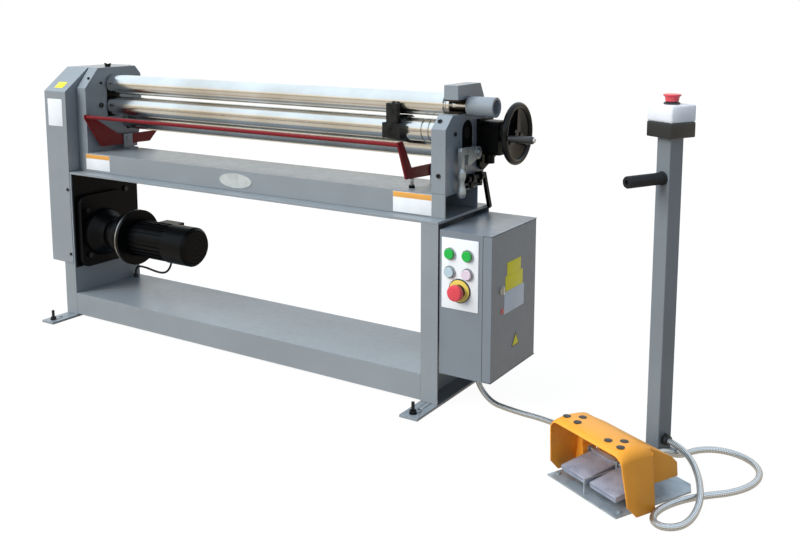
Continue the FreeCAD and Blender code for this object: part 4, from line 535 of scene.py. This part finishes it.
# The silvered casting is pale, with soft grey patches and no clear reflection.
badge_metal = worn_metal("silvered_zinc_casting", "#cfd6d8", "#b9c1c4", 0.36, 2.0, 0.5)
fit(badge, "frame", badge_metal, "bright_metal", "blank_plates")
door_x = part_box("cabinet_door")[1][0] + 0.0003
for name, y0, y1, z0, z1, sheet_finish, sheet_slot in (
        ("door_plate_top", 0.0485, 0.1345, 0.390, 0.427, print_yellow, "yellow_plate"),
        ("door_plate_middle", 0.0385, 0.1480, 0.346, 0.3895, print_yellow, "yellow_plate"),
        ("door_plate_low", 0.0325, 0.1580, 0.282, 0.3455, print_grey, "grey_plastic")):
    plate(name, (door_x, (y0 + y1) / 2, (z0 + z1) / 2), (0.0008, y1 - y0, z1 - z0), 0.0002,
          "cabinet_door", sheet_finish, sheet_slot, "door_plates")
for name, size_mm, lift, sheet_finish, sheet_slot in (
        ("door_triangle_edge", 30.0, 0.0, black_abs, "black_plastic"),
        ("door_triangle", 24.0, 0.0004, print_yellow, "yellow_plate")):
    triangle = turned(name, (door_x - 0.0004, 0.1080, 0.1850), (1, 0, 0),
                      [(0.0, size_mm / 1000.0), (0.0006 + lift, size_mm / 1000.0)], sides=3)
    stretch((1.0, 0.92, 0.86), (door_x, 0.1080, 0.1850))
    fit(triangle, "cabinet_door", sheet_finish, sheet_slot, "door_plates")
spot = turned("door_spot", (door_x - 0.0004, 0.0205, 0.2950), (1, 0, 0),
              [(0.0, 0.0085), (0.0008, 0.0085), (0.0010, 0.0081)], sides=32)
fit(spot, "cabinet_door", print_red, "red_plastic", "door_plates")

# ---------------------------------------------------------------- pedal unit
# A zinc-plated base plate with an orange moulded hood over two die-cast pedals.  The treads
# carry rows of raised points, and six dark discs are set in the top of the hood.
# Zinc plate is pale blue-grey and satin, with faint cloudy patches.
zinc = worn_metal("zinc_plated_sheet", "#a9b3ba", "#8e999f", 0.38, 3.0, 0.45)
dress(["pedal_base"], zinc, 0.8)
# Polypropylene is slightly waxy: a strong colour with broad soft highlights.
orange_hood = moulded("orange_polypropylene", "#f9a636", 0.36, 2.0, 0.05, 0.3)
unit_turn = math.radians(-27.0)
unit = Matrix.Translation((1.0492, -0.18947, 0.0)) @ Matrix.Rotation(unit_turn, 4, "Z")


def pick(piece, test):
    """In edit mode, selects the points of a piece that pass a test on their place."""
    bpy.ops.mesh.select_mode(type="VERT")
    bpy.ops.mesh.select_all(action="DESELECT")
    mesh = bmesh.from_edit_mesh(piece.data)
    for vert in mesh.verts:
        vert.select_set(bool(test(vert.co)))
    mesh.select_flush(True)
    bmesh.update_edit_mesh(piece.data)


def shell_start(name, low, high):
    """A hood's start: a cube of its size, open at the front and below, in the unit's own frame."""
    deselect_all()
    low, high = Vector(low), Vector(high)
    bpy.ops.mesh.primitive_cube_add(size=1.0, location=(low + high) / 2, scale=high - low)
    piece = bpy.context.object
    piece.name = name
    bpy.ops.object.transform_apply(location=True, rotation=True, scale=True)
    bpy.ops.object.mode_set(mode="EDIT")
    for test in (lambda co: co.y < low.y + 0.0001, lambda co: co.z < low.z + 0.0001):
        pick(piece, test)
        bpy.ops.mesh.delete(type="ONLY_FACE")
    return piece


def shell_finish(piece, thick):
    """Gives a hood its wall, its place on the unit and its finish."""
    bpy.ops.mesh.select_all(action="SELECT")
    bpy.ops.mesh.remove_doubles(threshold=0.00001)
    bpy.ops.mesh.normals_make_consistent(inside=False)
    bpy.ops.object.mode_set(mode="OBJECT")
    wall = piece.modifiers.new("wall", "SOLIDIFY")
    wall.thickness = thick
    wall.offset = -1.0
    wall.use_even_offset = True
    bpy.ops.object.modifier_apply(modifier=wall.name)
    lip = piece.modifiers.new("lip", "BEVEL")
    lip.width = 0.0008
    lip.segments = 2
    lip.limit_method = "ANGLE"
    lip.angle_limit = math.radians(50)
    bpy.ops.object.modifier_apply(modifier=lip.name)
    piece.data.transform(unit)
    bpy.ops.object.shade_smooth_by_angle(angle=math.radians(35))
    return fit(piece, "frame", orange_hood, "orange_plastic", "pedal_guard")


# The top of the hood swells from its front edge; each pair is (depth, height).
crown = ((-0.131, 0.1455), (-0.125, 0.1500), (-0.115, 0.1530), (-0.100, 0.1555),
         (-0.080, 0.1555), (-0.060, 0.1540), (-0.045, 0.1520), (-0.034, 0.1495))
front_y, front_top = crown[0]
hood = shell_start("hood_front", (-0.131, front_y, 0.004), (0.144, -0.034, front_top))
pick(hood, lambda co: co.y > -0.0345 and co.z > 0.0)
bpy.ops.mesh.delete(type="ONLY_FACE")
pick(hood, lambda co: co.z > 0.10)
bpy.ops.transform.resize(value=(0.890, 1.0, 1.0), center_override=(0.0085, 0.0, 0.146))
for side_test in (lambda co: co.z > 0.10 and co.x < 0, lambda co: co.z > 0.10 and co.x > 0):
    pick(hood, side_test)
    bpy.ops.mesh.bevel(offset=0.024, segments=7, affect="EDGES")
for station, height in crown[1:-1]:
    bpy.ops.mesh.select_all(action="SELECT")
    bpy.ops.mesh.bisect(plane_co=(0.0, station, 0.0), plane_no=(0.0, 1.0, 0.0))
for station, height in crown[1:]:
    pick(hood, lambda co: abs(co.y - station) < 0.0003 and co.z > 0.10)
    bpy.ops.transform.translate(value=(0.0, 0.0, height - front_top))
bpy.ops.mesh.select_all(action="SELECT")
bpy.ops.mesh.bisect(plane_co=(0.0, front_y, front_top), plane_no=(0.0, -1.0, -0.123),
                    clear_outer=True)
bpy.ops.mesh.select_all(action="SELECT")
bpy.ops.mesh.bisect(plane_co=(0.0, -0.117, 0.032), plane_no=(0.0, -1.0, -0.93), clear_outer=True)
shell_finish(hood, 0.0035)
rear_top, slope_y = 0.1475, 0.036
rear = shell_start("hood_rear", (-0.106, -0.036, 0.058), (0.124, 0.054, rear_top))
bpy.ops.mesh.select_all(action="SELECT")
bpy.ops.mesh.bisect(plane_co=(0.0, slope_y, 0.0), plane_no=(0.0, 1.0, 0.0))
pick(rear, lambda co: abs(co.y - slope_y) < 0.0005 and co.z > 0.10)
bpy.ops.transform.translate(value=(0.0, 0.0, 0.108 - rear_top))
pick(rear, lambda co: co.y > 0.0535 and co.z > 0.10)
bpy.ops.transform.translate(value=(0.0, 0.0, 0.090 - rear_top))
pick(rear, lambda co: co.z > 0.085)
bpy.ops.transform.resize(value=(0.97, 1.0, 1.0), center_override=(0.009, 0.0, 0.1))
shell_finish(rear, 0.003)
# Sheets close the hood behind the pedals.  The two steps narrow upwards with its side walls.
for name, middle, size, narrower in (
        ("top", (0.009, 0.007, 0.0903), (0.212, 0.003, 0.066), 0.0),
        ("low", (-0.024, 0.007, 0.0440), (0.146, 0.003, 0.032), 0.0),
        ("side", (-0.1025, -0.014, 0.0445), (0.003, 0.044, 0.033), 0.0),
        ("step_left", (-0.1151, -0.0355, 0.0790), (0.0242, 0.003, 0.118), 0.0112),
        ("step_right", (0.1325, -0.0355, 0.0790), (0.0180, 0.003, 0.118), 0.0112)):
    sheet = plate(f"hood_back_{name}", middle, size, 0.0010, "frame", orange_hood,
                  "orange_plastic")
    if narrower:
        outward = math.copysign(1.0, middle[0])
        bpy.ops.object.mode_set(mode="EDIT")
        pick(sheet, lambda co: co.z > middle[2] and (co.x - middle[0]) * outward > 0.0)
        bpy.ops.transform.translate(value=(-narrower * outward, 0.0, 0.0))
        bpy.ops.object.mode_set(mode="OBJECT")
    sheet.data.transform(unit)
# The die-cast alloy is pale with a faint violet tone, and dull where shoes rub it.
tread_metal = worn_metal("die_cast_tread_alloy", "#b3bacb", "#8f96a8", 0.46, 2.0, 0.4)
# At rest a pedal is tipped up by 9 degrees about its hinge.
tip = (Matrix.Translation((0.0, -0.012, 0.050)) @ Matrix.Rotation(math.radians(9.0), 4, "X")
       @ Matrix.Translation((0.0, 0.012, -0.050)))
tread_wide = 0.088
for side, u0 in (("left", -0.095), ("right", 0.007)):
    tread_u = u0 + tread_wide / 2
    tread = plate(f"tread_{side}", (tread_u, -0.059, 0.0455), (tread_wide, 0.106, 0.007), 0.0018,
                  f"pedal_{side}", tread_metal, "cast_aluminium", f"pedal_{side}")
    skirts = []
    for name, middle, size in (
            ("front", (tread_u, -0.1105, 0.0418), (0.086, 0.003, 0.0125)),
            ("side_a", (u0 + 0.0016, -0.060, 0.0418), (0.003, 0.100, 0.0125)),
            ("side_b", (u0 + 0.0864, -0.060, 0.0418), (0.003, 0.100, 0.0125)),
            ("hub", (tread_u, -0.012, 0.0475), (0.070, 0.016, 0.013))):
        skirts.append(plate(f"tread_{side}_{name}", middle, size, 0.0010, f"pedal_{side}",
                            tread_metal, "cast_aluminium"))
    deselect_all()
    bpy.ops.mesh.primitive_cone_add(vertices=4, radius1=0.0026, radius2=0.0010, depth=0.0016,
                                    location=(u0 + 0.008, -0.106, 0.0497))
    points = bpy.context.object
    points.name = f"tread_{side}_points"
    bpy.ops.object.mode_set(mode="EDIT")
    bpy.ops.mesh.select_all(action="SELECT")
    bpy.ops.mesh.bevel(offset=0.0003, segments=1, affect="EDGES")
    bpy.ops.object.mode_set(mode="OBJECT")
    bpy.ops.object.transform_apply(location=True, rotation=True, scale=True)
    for gap, number in (((0.006, 0, 0), 13), ((0, 0.006, 0), 16)):
        rows = points.modifiers.new("rows", "ARRAY")
        rows.use_relative_offset = False
        rows.use_constant_offset = True
        rows.constant_offset_displace = gap
        rows.count = number
        bpy.ops.object.modifier_apply(modifier=rows.name)
    fit(points, f"pedal_{side}", tread_metal, "cast_aluminium")
    for piece in [tread, points] + skirts:
        piece.data.transform(unit @ tip)
# Dull dark brown rubber, so the discs read as shallow dark spots on the hood.
dark_disc = moulded("dark_rubber_disc", "#2b2522", 0.5, 1.5, 0.05)
for count, (disc_u, disc_v, disc_z) in enumerate((
        (-0.0920, -0.0980, 0.1553), (-0.0684, -0.0690, 0.1545), (-0.0520, -0.0990, 0.1553),
        (0.0580, -0.1030, 0.1549), (0.0806, -0.0756, 0.1549), (0.0990, -0.1040, 0.1548)),
        start=1):
    disc = turned(f"hood_disc_{count}", (disc_u, disc_v, disc_z), (0, 0, 1),
                  [(0.0, 0.0098), (0.0010, 0.0098), (0.0013, 0.0090)], sides=32)
    disc.data.transform(unit)
    fit(disc, "frame", dark_disc, "black_plastic")

# ---------------------------------------------------------------- stop post
# A square steel tube, enamelled grey, on the rear of the pedal unit.  A ribbed rubber hand grip is
# bolted to its front, and a two-part box with a stop button sits on its top.
# The post's enamel is darker than the stand's and shines a little along its rounded edges.
post_enamel = enamel("dark_grey_enamel_on_tube", "#747b80", 0.34, 2.5)
dress(["post"], post_enamel, 2.5)
# Rubber is almost black and matt, so only the edges of the ribs catch light.
rubber_grip = moulded("ribbed_grip_rubber", "#1b1c1f", 0.55, 1.5, 0.10, 0.25)
post_middle = Vector((1.06695, 0.02595, 0.0))
outward = Vector((math.sin(unit_turn), -math.cos(unit_turn), 0.0))
grip_steps = [(0.0, 0.0120), (0.0001, 0.0176), (0.0030, 0.0178), (0.0042, 0.0166)]
rib_pitch = 0.0062
for rib in range(17):
    at = 0.0050 + rib * rib_pitch
    grip_steps += [(at, 0.0142), (at + 0.0012, 0.0152), (at + 0.0044, 0.0152),
                   (at + 0.0056, 0.0142)]
grip_steps += [(0.1120, 0.0152), (0.1150, 0.0152), (0.1172, 0.0142), (0.1180, 0.0120),
               (0.1176, 0.0060), (0.1120, 0.0056)]
half_tube, grip_z = 0.0225, 0.714
hand_grip = turned("hand_grip", post_middle + outward * half_tube + Vector((0, 0, grip_z)),
                   outward, grip_steps)
fit(hand_grip, "frame", rubber_grip, "black_plastic", "post_fittings")
plate("stop_box_base", (post_middle.x, post_middle.y, 0.835), (0.083, 0.083, 0.038), 0.0030,
      "frame", black_abs, "black_plastic", "post_fittings", turn=unit_turn, steps=3)
# The lid is thin and lets light through, so its shaded sides stay pale.
box_white = moulded("white_abs_box", "#f2f4f7", 0.35, 1.5, 0.03)
lid_shader = box_white.node_tree.nodes["Principled BSDF"]
lid_shader.inputs["Subsurface Weight"].default_value = 0.55
lid_shader.inputs["Subsurface Radius"].default_value = (1.0, 1.0, 1.0)
lid_shader.inputs["Subsurface Scale"].default_value = 0.08
plate("stop_box_cover", (post_middle.x, post_middle.y, 0.875), (0.083, 0.083, 0.042), 0.0045,
      "frame", box_white, "white_plastic", "stop_box_lid", turn=unit_turn, steps=3)
post_neck = turned("post_stop_neck", (post_middle.x, post_middle.y, 0.8955), (0, 0, 1),
                   [(0.0, 0.0200), (0.0035, 0.0198), (0.0052, 0.0188), (0.0052, 0.0167),
                    (0.0010, 0.0162)])
fit(post_neck, "frame", black_abs, "black_plastic")
post_stem = turned("post_stop_stem", (post_middle.x, post_middle.y, 0.9009), (0, 0, 1),
                   [(0.0, 0.0155), (0.0031, 0.0155)])
fit(post_stem, "post_stop_head", black_abs, "black_plastic")
post_mushroom = turned("post_stop_mushroom", (post_middle.x, post_middle.y, 0.0), (0, 0, 1),
                       [(0.9030, 0.0120), (0.9031, 0.0158), (0.9060, 0.0166), (0.9120, 0.0172),
                        (0.9150, 0.0190), (0.9170, 0.0216), (0.9185, 0.0220), (0.9200, 0.0214),
                        (0.9208, 0.0190), (0.9210, 0.0100)], sides=64)
fit(post_mushroom, "post_stop_head", stop_red, "red_plastic", "post_stop_head")
dress(["glands"], black_abs)

# ---------------------------------------------------------------- braided conduits
# Two flexible metal hoses, 16 mm across, with a sleeve of braided stainless wire.  One runs
# from the cabinet's floor to the side of the pedal hood, the other from the rear of the hood
# in a loose loop on the floor to the foot of the post.
def braided_wire(name, length):
    """Stainless braid: flat bundles of wire cross at a steep angle, with a painted highlight on top
    of each bundle and painted shade in between.  A real bundle is 1.5 mm wide; it is drawn at 4 mm
    so that it shows."""
    material, _ = new_material(name, "#b9bcbe", 0.9, 0.3)
    uv = add(material, "TexCoord").outputs["UV"]
    split = add(material, "SeparateXYZ", {"Vector": uv})
    repeat, strands = 0.008, 6.0        # length of one crossing, and crossings round the hose
    along = add(material, "Math", {0: split.outputs["X"], 1: length / repeat},
                operation="MULTIPLY")
    around = add(material, "Math", {0: split.outputs["Y"], 1: strands}, operation="MULTIPLY")
    waves = []
    for way in ("ADD", "SUBTRACT"):
        lean = add(material, "Math", {0: along.outputs[0], 1: around.outputs[0]}, operation=way)
        turn = add(material, "Math", {0: lean.outputs[0], 1: 2 * math.pi}, operation="MULTIPLY")
        waves.append(add(material, "Math", {0: turn.outputs[0]}, operation="SINE").outputs[0])
    weave = add(material, "Math", {0: waves[0], 1: waves[1]}, operation="MULTIPLY")
    height = add(material, "MapRange", {"Value": weave.outputs[0], "From Min": -1.0})
    # Painted light: the raised middle of each bundle takes the pale colour as a painted highlight,
    # and the gaps take the dark colour as painted shade.
    tone = add(material, "Mix", {0: height.outputs[0], 6: srgb("#5d6164"), 7: srgb("#e4e6e8")},
               data_type="RGBA")
    drive(material, tone.outputs[2], "Base Color")
    bump = add(material, "Bump", {"Height": height.outputs[0], "Distance": 0.0006, "Strength": 0.8})
    drive(material, bump.outputs[0], "Normal")
    return material


def routed(name, points, radius, material):
    """One smooth spline with the route's points as its control points."""
    curve = bpy.data.curves.new(name, "CURVE")
    curve.dimensions = "3D"
    spline = curve.splines.new("NURBS")
    spline.points.add(len(points) - 1)
    for control, point in zip(spline.points, points):
        control.co = (*point, 1.0)
    spline.order_u = 3
    spline.use_endpoint_u = True
    spline.resolution_u = 12
    curve.bevel_depth = radius
    curve.bevel_resolution = 5
    curve.use_fill_caps = True
    curve.materials.append(material)
    piece = bpy.data.objects.new(name, curve)
    scene.collection.objects.link(piece)
    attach(piece, "frame")
    return piece


cabinet_points = [
    (0.5172, 0.0675, 0.0900), (0.5172, 0.0675, 0.0640), (0.5372, 0.0625, 0.0310),
    (0.5772, 0.0515, 0.0080), (0.6272, 0.0385, 0.0080), (0.6792, 0.0305, 0.0080),
    (0.7322, 0.0285, 0.0080), (0.7842, 0.0165, 0.0090), (0.8312, -0.0085, 0.0160),
    (0.8812, -0.0435, 0.0410), (0.9280, -0.0693, 0.0600), (0.9601, -0.0857, 0.0600),
]
cabinet_hose = routed("cabinet_hose", cabinet_points, 0.008, braided_wire("braid_short", 0.53))
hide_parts("conduit_cabinet")
post_points = [
    (1.0995, 0.0094, 0.0400), (1.1315, -0.0070, 0.0400), (1.1742, -0.0485, 0.0330),
    (1.2042, -0.1025, 0.0270), (1.2262, -0.1585, 0.0260), (1.2422, -0.2135, 0.0200),
    (1.2452, -0.2665, 0.0110), (1.2382, -0.3115, 0.0080), (1.2202, -0.3405, 0.0080),
    (1.1942, -0.3515, 0.0080), (1.1722, -0.3375, 0.0080), (1.1652, -0.3075, 0.0080),
    (1.1712, -0.2695, 0.0080), (1.1892, -0.2285, 0.0080), (1.2152, -0.1885, 0.0080),
    (1.2482, -0.1525, 0.0080), (1.2852, -0.1165, 0.0080), (1.3132, -0.0705, 0.0080),
    (1.3262, -0.0195, 0.0080), (1.3192, 0.0335, 0.0080), (1.2892, 0.0755, 0.0080),
    (1.2442, 0.0975, 0.0080), (1.1942, 0.0945, 0.0080), (1.1552, 0.0645, 0.0080),
    (1.1372, 0.0195, 0.0100), (1.1282, -0.0205, 0.0220), (1.1182, -0.0515, 0.0390),
    (1.1064, -0.0772, 0.0490), (1.0955, -0.0986, 0.0490),
]
post_hose = routed("post_hose", post_points, 0.008, braided_wire("braid_long", 1.25))
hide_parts("conduit_post")

# ---------------------------------------------------------------- motor cable
# A round rubber-sheathed cable, 8 mm across, from the motor's terminal box down to the base
# channel, where the wiring goes to the cabinet.
# The rubber sheath is an even dull black.
rubber, _ = new_material("moulded_rubber_sheath", "#1d1d1f", 0.0, 0.6)
motor_points = [
    (-0.7998, 0.1565, 0.2490), (-0.7998, 0.1565, 0.2150), (-0.8088, 0.1585, 0.1840),
    (-0.8338, 0.1645, 0.1580), (-0.8708, 0.1765, 0.1440), (-0.9138, 0.1915, 0.1380),
    (-0.9578, 0.2035, 0.1370), (-0.9998, 0.2115, 0.1390), (-1.0428, 0.2165, 0.1370),
    (-1.0568, 0.2185, 0.1280), (-1.0648, 0.2195, 0.1140), (-1.0648, 0.2195, 0.1040),
]
motor_lead = routed("motor_lead", motor_points, 0.004, rubber)
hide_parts("motor_cable")

# ---------------------------------------------------------------- floor and light
# A white studio floor and backdrop, lit by two large soft lamps, a warm one in front on the
# left and a cool one above, with even fill from all sides.
floor_material, floor_shader = new_material("studio_floor", "#9d9d9c", 0.0, 0.9)
floor_shader.inputs["Specular IOR Level"].default_value = 0.0
light_path = add(floor_material, "LightPath")
seen = add(floor_material, "Math", {0: light_path.outputs["Is Camera Ray"],
                                    1: light_path.outputs["Is Glossy Ray"]}, operation="MAXIMUM")
seen = add(floor_material, "Math", {0: seen.outputs[0],
                                    1: light_path.outputs["Is Transmission Ray"]},
           operation="MAXIMUM")
glow_share, glow_strength = 0.80, 1.20
share = add(floor_material, "Math", {0: seen.outputs[0], 1: glow_share}, operation="MULTIPLY")
# Shiny metal sees the floor of a workshop, warm grey, where the eye sees plain white.
tint = add(floor_material, "Mix", {0: light_path.outputs["Is Glossy Ray"],
                                   6: (1.0, 1.0, 1.0, 1.0), 7: srgb("#e8dcc8")},
           data_type="RGBA")
glow = add(floor_material, "Emission", {"Color": tint.outputs[2], "Strength": glow_strength})
mixed = add(floor_material, "MixShader", {0: share.outputs[0], 1: floor_shader.outputs[0],
                                          2: glow.outputs[0]})
floor_material.node_tree.links.new(
    mixed.outputs[0], floor_material.node_tree.nodes["Material Output"].inputs["Surface"])
bpy.ops.mesh.primitive_plane_add(size=40.0, location=(0.0, 0.0, -0.0005))
floor = bpy.context.object
floor.name = "studio_floor"
floor.data.materials.append(floor_material)

world = bpy.data.worlds.new("studio")
scene.world = world
world.use_nodes = True
background = world.node_tree.nodes["Background"]
background.inputs["Color"].default_value = srgb("#cfdff8")
background.inputs["Strength"].default_value = 0.48
path = add(world, "LightPath")
white = add(world, "Background", {"Color": (1.0, 1.0, 1.0, 1.0), "Strength": 1.0})
seen = add(world, "Math", {0: path.outputs["Is Camera Ray"],
                           1: path.outputs["Is Transmission Ray"]}, operation="MAXIMUM")
# Shiny metal sees a room: brown-grey at the horizon, cream above it and pale blue overhead.
where = add(world, "TexCoord").outputs["Generated"]
split = add(world, "SeparateXYZ", {"Vector": where})
room = add(world, "ValToRGB", {"Fac": split.outputs["Z"]})
tones = room.color_ramp.elements
tones[0].color = srgb("#8d8374")
tones[1].position = 0.85
tones[1].color = srgb("#e0edf7")
for height, colour in ((0.09, "#bcae97"), (0.17, "#eadcc2"), (0.27, "#dde4e8"),
                       (0.55, "#d8e7f4")):
    tones.new(height).color = srgb(colour)
shiny = add(world, "Background", {"Color": room.outputs["Color"], "Strength": 1.7})
first = add(world, "MixShader", {0: path.outputs["Is Glossy Ray"], 1: background.outputs[0],
                                 2: shiny.outputs[0]})
last = add(world, "MixShader", {0: seen.outputs[0], 1: first.outputs[0], 2: white.outputs[0]})
world.node_tree.links.new(last.outputs[0], world.node_tree.nodes["World Output"].inputs["Surface"])

for lamp_name, power, width, colour, aim in (
        ("key_lamp", 2.5, 30.0, (1.0, 0.97, 0.91), (-0.42, -0.80, 0.50)),
        ("top_lamp", 1.9, 44.0, (0.72, 0.87, 1.0), (-0.46, -0.24, 0.86))):
    lamp_data = bpy.data.lights.new(lamp_name, "SUN")
    lamp_data.energy = power
    lamp_data.angle = math.radians(width)
    lamp_data.color = colour
    lamp = bpy.data.objects.new(lamp_name, lamp_data)
    lamp.rotation_euler = Vector(aim).to_track_quat("Z", "Y").to_euler()
    scene.collection.objects.link(lamp)
    lamp.visible_glossy = False
